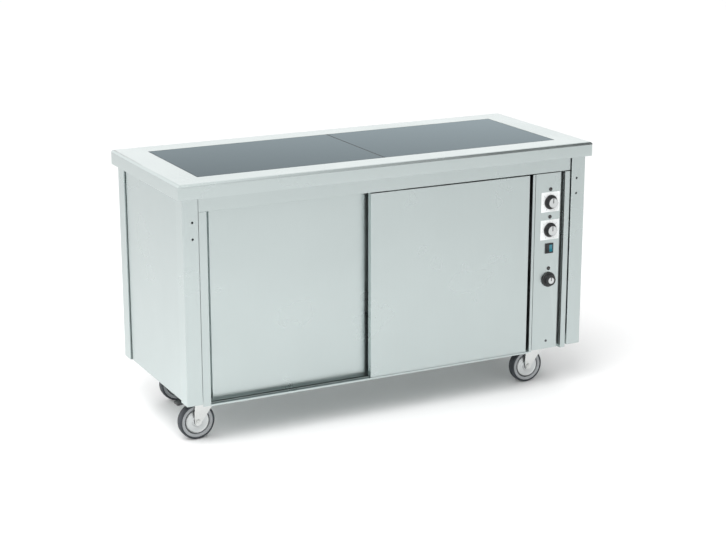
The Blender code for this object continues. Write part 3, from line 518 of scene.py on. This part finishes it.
def hot_plate_glass():
    """Dark flecked glass ceramic under a polished face, which mirrors more the flatter it is seen."""
    top = bpy.context.scene.counter_top
    base = tuple(top.glass_colour)
    material, shader = new_material("polished_glass_ceramic")
    tree = material.node_tree
    links = tree.links
    fleck = place_group(material, brushed_grain(), Stretch=(700.0, 700.0, 700.0), Depth=0.0)
    marks = place_group(material, handling_marks(), Scale=2.4, Low=0.07, High=0.11)
    links.new(mixed_colour(material, fleck.outputs["Grain"], tint(base, 0.8), tint(base, 1.3)),
              shader.inputs["Base Color"])
    shader.inputs["Roughness"].default_value = 0.5
    shader.inputs["Specular IOR Level"].default_value = 0.0
    polish = new_node(tree, "BsdfGlossy", (("Color", (*top.polish_colour, 1)),))
    links.new(marks.outputs["Mask"], polish.inputs["Roughness"])
    slope = new_node(tree, "LayerWeight")
    flat_view = new_node(tree, "MapRange", (("From Min", 0.775), ("From Max", 0.825),
                                            ("To Min", 0.47), ("To Max", 0.88)))
    mirror = new_node(tree, "Fresnel", (("IOR", 1.46),))
    both = new_node(tree, "MixShader")
    links.new(slope.outputs["Facing"], flat_view.inputs["Value"])
    links.new(product(tree, flat_view.outputs["Result"], mirror.outputs["Fac"]), both.inputs["Fac"])
    links.new(shader.outputs["BSDF"], both.inputs[1])
    links.new(polish.outputs["BSDF"], both.inputs[2])
    links.new(both.outputs["Shader"], tree.nodes["Material Output"].inputs["Surface"])
    return material


def lens(name, base, glow=0.0):
    """Clear tinted plastic that looks deep, with small prisms inside; a glow above zero makes it give off
    light in its own colour, a painted glow.
    """
    material, shader = new_material(name)
    links = material.node_tree.links
    prisms = new_node(material.node_tree, "TexVoronoi", (("Scale", 900.0),))
    place = new_node(material.node_tree, "TexCoord")
    links.new(place.outputs["Object"], prisms.inputs["Vector"])
    shade = mixed_colour(material, prisms.outputs["Distance"], base, tint(base, 1.9))
    links.new(shade, shader.inputs["Base Color"])
    # emission in the lens colour: painted glow, not a lit lamp
    if glow:
        links.new(shade, shader.inputs["Emission Color"])
        shader.inputs["Emission Strength"].default_value = glow
    shader.inputs["Roughness"].default_value = 0.12
    shader.inputs["Coat Weight"].default_value = 0.6
    return material


def tyre_rubber():
    """Dark rubber, dustier on the tread."""
    casters = bpy.context.scene.counter_casters
    base = tuple(casters.tyre_colour)
    material, shader = new_material("dusty_tyre_rubber")
    links = material.node_tree.links
    dust = place_group(material, handling_marks(), Scale=55.0, Low=0.0, High=0.55)
    skin = place_group(material, brushed_grain(), Stretch=(450.0, 450.0, 450.0), Depth=0.25)
    links.new(mixed_colour(material, dust.outputs["Mask"], base, tuple(part * 1.5 + 0.01 for part in base)),
              shader.inputs["Base Color"])
    links.new(mapped(material, skin.outputs["Grain"], 0.55, 0.75), shader.inputs["Roughness"])
    links.new(skin.outputs["Normal"], shader.inputs["Normal"])
    return material


def painted(name, base, roughness):
    """Smooth printed or painted face with a faint orange-peel skin."""
    return plastic(name, base, roughness, texture=260.0, depth=0.03)


def middle_line(node):
    """Where the line through a part's middle from front to back lies."""
    low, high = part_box(node)
    return Vector(((low.x + high.x) / 2, 0, (low.z + high.z) / 2))


def black_part(node, radius, steps):
    """A finished copy of a black moulded part."""
    return eased(node, black_plastic(), radius, steps)


def black_piece(name, shape, node, replaces=()):
    """A black moulded piece that moves with the node's body."""
    return finish(name, shape, black_plastic(), BODY_OF[node], replaces)


def sheathed_part(node):
    """A finished copy of a heating element."""
    return eased(node, sheathed_element(), 0.0003, 1)


# ---------------------------------------------------------------- operators

class CounterStage(bpy.types.Operator):
    """Camera, floor and soft studio lights"""
    bl_idname = "counter.stage"
    bl_label = "Stage"

    def execute(self, context):
        stage = context.scene.counter_stage
        camera = bpy.data.objects.new("camera", bpy.data.cameras.new("camera"))
        camera.location = (-2.657, -5.2966, 2.0951)
        camera.rotation_euler = (math.pi / 2 - 0.2715, 0.0, -0.47)
        camera.data.lens = stage.lens
        camera.data.clip_end = 60.0
        context.scene.collection.objects.link(camera)
        context.scene.camera = camera
        context.scene.view_settings.view_transform = "Standard"
        self.floor(context, stage)
        self.lights(context, stage)
        return {"FINISHED"}

    def floor(self, context, stage):
        """A plain floor that goes on past the view in every direction."""
        shape = bmesh.new()
        bmesh.ops.create_grid(shape, x_segments=1, y_segments=1, size=18.0)
        move(shape, (0, 0, -0.0005))
        mesh = bpy.data.meshes.new("floor")
        shape.to_mesh(mesh)
        shape.free()
        material, shader = new_material("pale_floor")
        tone = place_group(material, handling_marks(), Scale=0.4, Low=0.0, High=1.0)
        base = tuple(stage.floor_colour)
        material.node_tree.links.new(mixed_colour(material, tone.outputs["Mask"], base, tint(base, 0.995)),
                                     shader.inputs["Base Color"])
        shader.inputs["Roughness"].default_value = 0.9
        mesh.materials.append(material)
        floor = bpy.data.objects.new("floor", mesh)
        context.scene.collection.objects.link(floor)

    def lights(self, context, stage):
        """An even fill with an unlit part at the right, a large key lamp and a weak side lamp."""
        world = bpy.data.worlds.new("soft_fill")
        world.use_nodes = True
        context.scene.world = world
        tree = world.node_tree
        links = tree.links
        backdrop = tree.nodes["Background"]
        backdrop.inputs["Color"].default_value = (1.0, 1.0, 1.0, 1.0)
        heading = new_node(tree, "TexCoord")
        sides = new_node(tree, "SeparateXYZ")
        links.new(heading.outputs["Generated"], sides.inputs[0])
        masks = []
        for axis, start, full in (("X", stage.dark_from, stage.dark_from + 0.14), ("Y", 0.42, 0.12)):
            edge = new_node(tree, "MapRange", (("From Min", start), ("From Max", full)))
            edge.interpolation_type = "SMOOTHSTEP"
            links.new(sides.outputs[axis], edge.inputs["Value"])
            masks.append(edge.outputs["Result"])
        fall = new_node(tree, "MapRange", (("To Min", stage.sky), ("To Max", stage.sky * stage.dark_share)))
        links.new(product(tree, *masks), fall.inputs["Value"])
        links.new(fall.outputs["Result"], backdrop.inputs["Strength"])
        for name, place, size, power in (
                ("key_lamp", (-1.4, -1.7, 3.3), 2.4, stage.key),
                ("side_lamp", (-3.0, 0.6, 2.6), 2.0, stage.key * 0.15)):
            lamp = bpy.data.objects.new(name, bpy.data.lights.new(name, "AREA"))
            lamp.data.shape = "SQUARE"
            lamp.data.size = size
            lamp.data.energy = power
            lamp.location = place
            aim = Vector((0, 0, 0.5)) - Vector(place)
            lamp.rotation_euler = aim.to_track_quat("-Z", "Y").to_euler()
            context.scene.collection.objects.link(lamp)


class CounterWorktop(bpy.types.Operator):
    """Pressed worktop with its rounded edge, glass ledge and corner plugs"""
    bl_idname = "counter.worktop"
    bl_label = "Worktop"

    def execute(self, context):
        top = context.scene.counter_top
        low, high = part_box("worktop")
        shape = cuboid((low.x, low.y, high.z - top.edge_height), high)
        crown = [e for e in shape.edges if all(v.co.z > high.z - 1e-6 for v in e.verts)]
        round_edges(shape, crown, top.edge_radius, 10)
        glass_low, glass_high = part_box("glass_seal")
        under = [f for f in shape.faces if f.normal.z < -0.9]
        bmesh.ops.inset_region(shape, faces=under, thickness=top.lip)
        bmesh.ops.delete(shape, geom=[f for f in shape.faces if f.normal.z < -0.9
                                      and abs(f.calc_center_median().y) < 0.01
                                      and f.calc_area() > 0.5], context="FACES")
        for normal, place in (((1, 0, 0), glass_low), ((1, 0, 0), glass_high),
                              ((0, 1, 0), glass_low), ((0, 1, 0), glass_high)):
            flat = [f for f in shape.faces if f.normal.z > 0.999]
            geom = flat + list({e for f in flat for e in f.edges}) + list({v for f in flat for v in f.verts})
            bmesh.ops.bisect_plane(shape, geom=geom, dist=1e-6, plane_co=place, plane_no=normal)
        middle = (glass_low + glass_high) / 2
        hole = [f for f in shape.faces if f.normal.z > 0.999
                and (f.calc_center_median().xy - middle.xy).length < 0.05]
        bmesh.ops.delete(shape, geom=hole, context="FACES")
        bmesh.ops.remove_doubles(shape, verts=shape.verts, dist=1e-6)
        bmesh.ops.recalc_face_normals(shape, faces=shape.faces)
        if max(shape.faces, key=lambda f: f.calc_center_median().z).normal.z < 0:
            bmesh.ops.reverse_faces(shape, faces=shape.faces)
        bmesh.ops.solidify(shape, geom=shape.faces[:], thickness=top.sheet)
        for x, y in ((low.x, low.y), (high.x, low.y), (low.x, high.y), (high.x, high.y)):
            outward = Vector((math.copysign(1, x), math.copysign(1, y), 0))
            cut_off(shape, Vector((x, y, 0)) - outward * top.corner_flat / 2, outward)
        bmesh.ops.recalc_face_normals(shape, faces=shape.faces)
        piece = finish("worktop_sheet", shape, top_steel(), BODY_OF["worktop"], ("worktop",))
        self.ledge(top, glass_low, glass_high)
        self.plugs(high.z)
        if len(piece.data.polygons) < 100:
            raise RuntimeError("the worktop's sheet lost its rounded edge")
        return {"FINISHED"}

    def ledge(self, top, low, high):
        """The welded ledge that the glass lies on."""
        reach = top.ledge
        top_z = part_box("glass_left")[0].z - 0.0003
        for name, first, second in (
                ("front", (low.x, low.y, 0), (high.x, low.y + reach, 0)),
                ("back", (low.x, high.y - reach, 0), (high.x, high.y, 0)),
                ("left", (low.x, low.y + reach, 0), (low.x + reach, high.y - reach, 0)),
                ("right", (high.x - reach, low.y + reach, 0), (high.x, high.y - reach, 0))):
            shape = soft_block((first[0], first[1], top_z - 0.0055), (second[0], second[1], top_z), 0.0003, 1)
            finish(f"glass_ledge_{name}", shape, liner_steel(), BODY_OF["worktop"])

    def plugs(self, height):
        """Three small blanking plugs near each back corner, for the uprights of an overshelf."""
        outline = [(0.0, 0.0007), (0.0026, 0.0006), (0.0034, 0.0002), (0.0036, -0.0008), (0.0, -0.0008)]
        for side, start in PLUG_STARTS.items():
            for number in range(3):
                centre = Vector(start) + Vector((PLUG_STEP[0] * number, PLUG_STEP[1] * number, height))
                shape = turned(outline, centre - Vector((0, 0, 0.0007)), "Z", 20)
                black_piece(f"corner_plug_{side}_{number}", shape, "worktop")


class CounterHotPlates(bpy.types.Operator):
    """Glass hot plates, their seal, heater trays and elements"""
    bl_idname = "counter.hot_plates"
    bl_label = "Hot plates"

    def execute(self, context):
        glass = hot_plate_glass()
        for side in ("left", "right"):
            eased(f"glass_{side}", glass, 0.0006, 3)
            folded(f"heater_tray_{side}", liner_steel(), (0, 0, -1))
            sheathed_part(f"heater_element_{side}")
        eased("glass_seal", seal_rubber(), 0.0003, 1)
        return {"FINISHED"}


class CounterFrame(bpy.types.Operator):
    """Corner posts, side and back covers, front frame, base pan and bottom rail"""
    bl_idname = "counter.frame"
    bl_label = "Frame and covers"

    def execute(self, context):
        sheet = context.scene.counter_sheet
        upright, lengthwise = body_steel(True), body_steel(False)
        for end in ("front", "rear"):
            for side in ("left", "right"):
                self.post(f"post_{end}_{side}", upright)
        for node, front in (("side_panel_left", (-1, 0, 0)), ("side_panel_right", (1, 0, 0)),
                            ("back_panel", (0, 1, 0))):
            folded(node, upright, front)
        folded("fascia", lengthwise, (0, -1, 0), sheet.bend / 2)
        for node in ("jamb_left", "jamb_right", "column_stile"):
            folded(node, upright, (0, -1, 0), sheet.bend / 3)
        for node in ("base_pan", "bottom_rail"):
            folded(node, lengthwise)
        return {"FINISHED"}

    def post(self, node, material):
        """Square tube with its long corners rolled, and its lower end capped."""
        shape = merged_copy(node)
        low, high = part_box(node)
        long_edges = [e for e in edges_along(shape, 2) if e.calc_length() > 0.5]
        outer = [e for e in long_edges if all(
            min(abs(v.co.x - low.x), abs(v.co.x - high.x)) < 1e-5
            and min(abs(v.co.y - low.y), abs(v.co.y - high.y)) < 1e-5 for v in e.verts)]
        round_edges(shape, outer, 0.0014, 4)
        round_edges(shape, sharp_edges(shape, FOLD_ANGLE), 0.0002, 1)
        finish(node + "_finished", shape, material, BODY_OF[node], (node,))
        cap = soft_block((low.x + 0.0019, low.y + 0.0019, low.z + 0.0004),
                         (high.x - 0.0019, high.y - 0.0019, low.z + 0.0060), 0.0008, 2)
        black_piece(node + "_end_cap", cap, node)


class CounterDoors(bpy.types.Operator):
    """Sliding doors and the track above"""
    bl_idname = "counter.doors"
    bl_label = "Doors"

    def execute(self, context):
        for side in ("left", "right"):
            folded(f"door_{side}", body_steel(True), (0, -1, 0))
        folded("door_track", liner_steel())
        return {"FINISHED"}


class CounterCupboard(bpy.types.Operator):
    """Liner, floor, shelf, ceiling, heater and its cover"""
    bl_idname = "counter.cupboard"
    bl_label = "Hot cupboard"

    def execute(self, context):
        for node in ("cupboard_liner", "cupboard_ceiling", "heater_cover"):
            folded(node, liner_steel())
        for node in ("cupboard_floor", "shelf"):
            folded(node, liner_steel(), (0, 0, 1), 0.0010)
        sheathed_part("cupboard_element")
        return {"FINISHED"}


class CounterControls(bpy.types.Operator):
    """Control panel, dial plates, knobs, lamps, switch and cable gland"""
    bl_idname = "counter.controls"
    bl_label = "Controls"

    def execute(self, context):
        controls = context.scene.counter_controls
        folded("control_panel", body_steel(True), (0, -1, 0), 0.0008)
        self.plate = painted("dial_plate_white", tuple(controls.plate_colour), 0.34)
        self.ink = painted("printed_ink", (0.06, 0.06, 0.065), 0.5)
        self.cap = steel("knob_cap_aluminium", tuple(controls.cap_colour), 0.30, (500.0, 60.0, 500.0))
        for name in ("upper", "lower"):
            self.dial_plate(f"dial_plate_{name}")
            black_part(f"regulator_{name}", 0.0004, 1)
            self.knob(f"knob_{name}", controls.flutes, 0.0172, 0.0165)
        black_part("thermostat", 0.0004, 1)
        self.knob("knob_thermostat", controls.flutes, 0.0115, 0.0170)
        glow = lens("dark_lamp_lens", tuple(controls.lens_colour))
        for name in ("upper", "middle", "lower"):
            self.lamp(f"lamp_{name}", glow)
        self.switch(controls)
        self.panel_screw()
        self.groove_seals()
        black_part("cable_gland", 0.0005, 2)
        return {"FINISHED"}

    def dial_plate(self, node):
        """White plate with a ring of printed marks and plain dial numbers."""
        low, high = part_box(node)
        centre = (low + high) / 2
        eased(node, self.plate, 0.0003, 2)
        front = low.y - 0.00004
        marks = bmesh.new()
        for step in range(13):
            angle = math.radians(DIAL_START + DIAL_TURN / 12 * step)
            near, far = (0.0282, 0.0305) if step % 2 else (0.0278, 0.0312)
            dash = cuboid((-0.00035, -0.00003, near), (0.00035, 0.00003, far))
            turn_about(dash, "Y", angle)
            move(dash, (centre.x, front, centre.z))
            add_shape(marks, dash)
        finish(f"{node}_marks", marks, self.ink, BODY_OF[node], flat=False)
        for number in range(7):
            angle = math.radians(DIAL_START + DIAL_TURN / 6 * number)
            reach = 0.0335 if number in (0, 3, 6) else 0.0345
            spot = Vector((centre.x + math.sin(angle) * reach, front, centre.z + math.cos(angle) * reach))
            if abs(spot.z - centre.z) < 0.0325 and abs(spot.x - centre.x) < 0.0350:
                self.digit(f"{node}_number_{number}", str(number), spot, 0.0042, BODY_OF[node])

    def digit(self, name, text, spot, size, body):
        """A plain printed dial number, facing the front."""
        curve = bpy.data.curves.new(name, "FONT")
        curve.body = text
        curve.size = size
        curve.align_x, curve.align_y = "CENTER", "CENTER"
        curve.extrude = 0.00003
        item = bpy.data.objects.new(name + "_text", curve)
        bpy.context.scene.collection.objects.link(item)
        bpy.context.view_layer.update()
        mesh = bpy.data.meshes.new_from_object(item.evaluated_get(bpy.context.evaluated_depsgraph_get()))
        shape = bmesh.new()
        shape.from_mesh(mesh)
        bpy.data.objects.remove(item)
        turn_about(shape, "X")
        move(shape, spot)
        bmesh.ops.remove_doubles(shape, verts=shape.verts, dist=1e-7)
        finish(name, shape, self.ink, body, flat=False)

    def knob(self, node, flutes, face, grip):
        """Skirt and fluted grip in black, with a satin cap and an inlaid pointer line."""
        low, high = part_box(node)
        centre = middle_line(node)
        skirt = (high.x - low.x) / 2
        front, back = low.y + 0.0008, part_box("control_panel")[0].y - 0.0025
        shape = turned([(0, back), (skirt - 0.0008, back), (skirt, back - 0.0008), (skirt, back - 0.0022),
                        (skirt - 0.0012, back - 0.0034), (grip + 0.003, back - 0.0040),
                        (grip + 0.002, back - 0.0060), (0, back - 0.0060)], centre, "Y", 64)
        spindle = turned([(0, high.y), (0.0026, high.y), (0.0030, high.y - 0.0006), (0.0030, back - 0.001),
                          (0, back - 0.001)], centre, "Y", 24)
        add_shape(shape, spindle)
        add_shape(shape, self.fluted(centre, grip + 0.0022, back - 0.0050, front + 0.0006, flutes))
        black_piece(f"{node}_moulding", shape, node, (node,))
        disc = turned([(0, front + 0.0008), (face, front + 0.0008), (face, front + 0.0001),
                       (face - 0.0006, front - 0.0002), (face - 0.0012, front - 0.00005), (0, front)],
                      centre, "Y", 64)
        finish(f"{node}_cap", disc, self.cap, BODY_OF[node])
        tip = max(face - 0.0004, 0.0120)
        line = soft_block((centre.x - 0.0014, front - 0.0007, centre.z - 0.0010),
                          (centre.x + 0.0014, front + 0.0006, centre.z + tip), 0.0003, 2)
        black_piece(f"{node}_pointer", line, node)

    def fluted(self, centre, radius, back, front, flutes):
        """A grip whose side has shallow flutes and a rounded front edge."""
        shape = bmesh.new()
        bmesh.ops.create_cone(shape, cap_ends=True, segments=flutes * 4, radius1=radius, radius2=radius,
                              depth=abs(back - front))
        turn_about(shape, "X")
        for corner in shape.verts:
            turn = math.atan2(corner.co.x, corner.co.z) * flutes
            depth = 1 - 0.045 * max(0.0, math.cos(turn))
            corner.co.x *= depth
            corner.co.z *= depth
        rim = [e for e in shape.edges if len(e.link_faces) == 2 and all(v.co.y < 0 for v in e.verts)
               and e.calc_face_angle(0) > 1.0]
        round_edges(shape, rim, 0.0009, 2)
        move(shape, (centre.x, (back + front) / 2, centre.z))
        return shape

    def lamp(self, node, glow):
        """Domed lens in a thin dark bezel."""
        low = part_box(node)[0]
        centre = middle_line(node)
        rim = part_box("control_panel")[0].y
        dome = turned([(0, low.y), (0.0016, low.y + 0.0002), (0.0031, low.y + 0.0008),
                       (0.0042, low.y + 0.0018), (0.0048, rim - 0.0012), (0.0048, rim + 0.018),
                       (0, rim + 0.018)], centre, "Y", 40)
        finish(f"{node}_lens", dome, glow, BODY_OF[node], (node,))
        ring = turned([(0.0049, rim - 0.0003), (0.0049, rim - 0.0019), (0.0056, rim - 0.0022),
                       (0.0066, rim - 0.0017), (0.0070, rim - 0.0003), (0.0049, rim - 0.0003)],
                      centre, "Y", 40)
        black_piece(f"{node}_bezel", ring, node)

    def switch(self, controls):
        """Rocker with a clear window down its right half, which has a faint painted glow."""
        black_part("switch_housing", 0.0005, 3)
        low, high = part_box("switch_rocker")
        # the window emits a faint light in its own colour: painted glow
        window = lens("clear_rocker_window_painted_glow", tuple(controls.rocker_colour), 0.15)
        split = low.x + 0.46 * (high.x - low.x)
        for name, first, second, material, slot in (
                ("rocker_solid", low.x, split, black_plastic(), "black_plastic"),
                ("rocker_window", split, high.x, window, "rocker_lens")):
            shape = merged_copy("switch_rocker")
            for place, normal in ((first, (-1, 0, 0)), (second, (1, 0, 0))):
                cut_off(shape, (place, 0, 0), normal)
            bmesh.ops.recalc_face_normals(shape, faces=shape.faces)
            round_edges(shape, sharp_edges(shape), 0.0004, 2)
            finish(name, shape, material, "switch_rocker",
                   ("switch_rocker",) if name == "rocker_solid" else ())

    def groove_seals(self):
        """Two thin dark strips of seal rubber down the groove between the control panel and the end strip:
        painted shade at the groove's two sides.
        """
        panel_low, panel_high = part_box("control_panel")
        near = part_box("jamb_right")[0]
        wall = JAMB_RIGHT_WALL - 0.0004
        for name, first, last in (("front", 0.0006, 0.0062), ("back", 0.0118, 0.0174)):
            strip = soft_block((wall - 0.0010, near.y + first, panel_low.z + 0.004),
                               (wall, near.y + last, panel_high.z - 0.001), 0.0003, 1)
            # the strips are painted shade: dark rubber where the groove's corners fall into shade
            finish(f"groove_painted_shade_strip_{name}", strip, seal_rubber(), BODY_OF["control_panel"])

    def panel_screw(self):
        """Pan-head screw at the foot of the control panel, with its cross recess shown as a black cross set
        into the head, which is painted shade.
        """
        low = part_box("control_panel")[0]
        centre = Vector((PANEL_SCREW[0], low.y, PANEL_SCREW[1]))
        head = turned([(0, -0.0024), (0.0022, -0.0022), (0.0040, -0.0014), (0.0048, -0.0002), (0.0048, 0.0),
                       (0, 0.0)], centre, "Y", 32)
        dark = steel("blackened_screw", (0.10, 0.105, 0.11), 0.35, (300.0, 300.0, 300.0), 0.1, 0.2)
        finish("panel_screw", head, dark, BODY_OF["control_panel"])
        # the recess is not cut: a black cross stands in for its hollow, as painted shade
        cross = soft_block((centre.x - 0.0022, low.y - 0.00255, centre.z - 0.0004),
                           (centre.x + 0.0022, low.y - 0.0018, centre.z + 0.0004), 0.0001, 1)
        add_shape(cross, soft_block((centre.x - 0.0004, low.y - 0.00256, centre.z - 0.0022),
                                    (centre.x + 0.0004, low.y - 0.0018, centre.z + 0.0022), 0.0001, 1))
        black_piece("panel_screw_recess_painted_shade", cross, "control_panel")


class CounterCasters(bpy.types.Operator):
    """Swivel casters: plates with bolts, forks, wheels and brake pedals"""
    bl_idname = "counter.casters"
    bl_label = "Casters"

    def execute(self, context):
        casters = context.scene.counter_casters
        self.rubber = tyre_rubber()
        self.disc = steel("wheel_disc", tuple(casters.disc_colour), 0.34, (260.0, 260.0, 260.0), 0.06, 0.05)
        self.centre_plastic = plastic("wheel_centre_grey", (0.10, 0.105, 0.11), 0.45)
        self.pale = plastic("wheel_ring_pale", (0.30, 0.315, 0.325), 0.4)
        for place, way in CASTERS.items():
            self.plate(place)
            self.fork(place)
            self.wheel(place, casters.crown)
            if place.startswith("front"):
                self.pedal(place, way)
        return {"FINISHED"}

    def plate(self, place):
        """The top plate, with four bolts and washers."""
        node = f"caster_plate_{place}"
        low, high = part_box(node)
        eased(node, zinc(), 0.0005, 1)
        middle = (low + high) / 2
        head, seat = high.z - 0.0033, high.z - 0.0044
        shape = bmesh.new()
        for x_way in (-1, 1):
            for y_way in (-1, 1):
                spot = Vector((middle.x + x_way * ((high.x - low.x) / 2 - 0.011),
                               middle.y + y_way * ((high.y - low.y) / 2 - 0.011), 0))
                add_shape(shape, hexagon(spot, "Z", 0.0125, high.z - 0.0082, head))
                washer = turned([(0, head), (0.0082, head), (0.0082, seat), (0, seat)], spot, "Z", 20)
                add_shape(shape, washer)
        finish(f"{node}_bolts", shape, zinc(), BODY_OF[node])

    def fork(self, place):
        """The fork, with a washer, a nut and the axle's tip on both sides."""
        node = f"caster_fork_{place}"
        eased(node, zinc(), 0.0005, 2)
        axle = middle_line(f"caster_wheel_{place}")
        fork_low, fork_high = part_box(node)
        shape = bmesh.new()
        for end, sign in ((fork_low.y, -1), (fork_high.y, 1)):
            inner = end - sign * 0.0040
            outer = inner + sign * 0.0010
            add_shape(shape, turned([(0.004, outer), (0.0092, outer), (0.0092, inner), (0.004, inner),
                                     (0.004, outer)], axle, "Y", 24))
            near, far = sorted((outer, end + sign * 0.0012))
            add_shape(shape, hexagon(axle, "Y", 0.0170, near, far))
            tip = sorted((end, end + sign * 0.0030))
            add_shape(shape, turned([(0, tip[0]), (0.0042, tip[0]), (0.0042, tip[1]), (0, tip[1])],
                                    axle, "Y", 16))
        finish(f"{node}_nuts", shape, zinc(), BODY_OF[node])

    def wheel(self, place, crown):
        """Tyre, pale ring, dark centre, side disc and hub, each turned about the axle."""
        node = f"caster_wheel_{place}"
        low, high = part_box(node)
        axle = (low + high) / 2
        radius = (high.x - low.x) / 2
        half = WHEEL_HALF
        body = BODY_OF[node]

        def ring(part, outline, material, slot="tyre_rubber", replaces=()):
            """A ring turned about the axle from a closed outline."""
            shape = turned(outline + [outline[0]], axle, "Y", 72)
            finish(f"{node}_{part}", shape, material, body, replaces)

        tread = [(0.0552, half - 0.0030), (0.0556, half - 0.0012), (0.0566, half - 0.0003), (0.0580, half),
                 (radius - crown * 0.45, half - crown * 0.6), (radius - crown * 0.10, half - crown * 1.2),
                 (radius, half - crown * 2.2)]
        ring("tyre", mirrored(tread), self.rubber, replaces=(node,))
        band = [(0.0442, half - 0.0042), (0.0450, half - 0.0026), (0.0500, half - 0.0018),
                (0.0545, half - 0.0020), (0.0551, half - 0.0032)]
        ring("band", mirrored(band), self.pale)
        core = [(0.0140, 0.0085), (0.0400, 0.0085), (0.0412, 0.0100), (0.0430, 0.0108), (0.0441, 0.0100)]
        ring("centre", mirrored(core), self.centre_plastic)
        for sign, side in ((-1, "front"), (1, "rear")):
            disc = [(0.0130, 0.0150), (0.0165, 0.0146), (0.0185, 0.0122), (0.0300, 0.0108), (0.0375, 0.0112),
                    (0.0398, 0.0124), (0.0408, 0.0110), (0.0402, 0.0096), (0.0180, 0.0092), (0.0130, 0.0100)]
            ring(f"disc_{side}", [(reach, sign * y) for reach, y in disc], self.disc, "zinc_plate")
        hub = [(0.0056, 0.0180), (0.0120, 0.0180), (0.0132, 0.0172), (0.0138, 0.0100)]
        ring("hub", mirrored(hub), self.centre_plastic)

    def pedal(self, place, way):
        """The brake pedal, with four grip ribs."""
        node = f"brake_pedal_{place}"
        black_part(node, 0.0010, 3)
        low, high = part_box(node)
        shape = bmesh.new()
        for number in range(4):
            x = (low.x if way < 0 else high.x) - way * (0.0095 + 0.0055 * number)
            rib = soft_block((x - 0.0010, low.y + 0.003, high.z - 0.0098 + 0.0009 * number),
                             (x + 0.0010, high.y - 0.003, high.z - 0.0052 + 0.0013 * number), 0.0004, 2)
            add_shape(shape, rib)
        black_piece(f"{node}_ribs", shape, node)


class CounterPanel(bpy.types.Panel):
    """Lists the counter's sizes, colours and making steps"""
    bl_label = "Heated serving counter"
    bl_idname = "VIEW3D_PT_counter"
    bl_space_type = "VIEW_3D"
    bl_region_type = "UI"
    bl_category = "Counter"

    def draw(self, context):
        scene = context.scene
        for label, settings, operators in (
                ("Stage", scene.counter_stage, (CounterStage,)),
                ("Worktop and glass", scene.counter_top, (CounterWorktop, CounterHotPlates)),
                ("Sheet metal", scene.counter_sheet, (CounterFrame, CounterDoors, CounterCupboard)),
                ("Controls", scene.counter_controls, (CounterControls,)),
                ("Casters", scene.counter_casters, (CounterCasters,))):
            box = self.layout.box()
            box.label(text=label)
            for name in type(settings).__annotations__:
                box.prop(settings, name)
            for operator in operators:
                box.operator(operator.bl_idname)


SETTINGS = {"counter_sheet": SheetSettings, "counter_top": WorktopSettings,
            "counter_controls": ControlSettings, "counter_casters": CasterSettings,
            "counter_stage": StageSettings}
OPERATORS = (CounterStage, CounterWorktop, CounterHotPlates, CounterFrame, CounterDoors, CounterCupboard,
             CounterControls, CounterCasters)


def register():
    for name, settings in SETTINGS.items():
        bpy.utils.register_class(settings)
        setattr(bpy.types.Scene, name, bpy.props.PointerProperty(type=settings))
    for operator in OPERATORS:
        bpy.utils.register_class(operator)
    bpy.utils.register_class(CounterPanel)


def unregister():
    bpy.utils.unregister_class(CounterPanel)
    for operator in reversed(OPERATORS):
        bpy.utils.unregister_class(operator)
    for name, settings in SETTINGS.items():
        delattr(bpy.types.Scene, name)
        bpy.utils.unregister_class(settings)


def main():
    register()
    bpy.ops.counter.stage()
    bpy.ops.counter.worktop()
    bpy.ops.counter.hot_plates()
    bpy.ops.counter.frame()
    bpy.ops.counter.doors()
    bpy.ops.counter.cupboard()
    bpy.ops.counter.controls()
    bpy.ops.counter.casters()


if __name__ == "__main__":
    main()
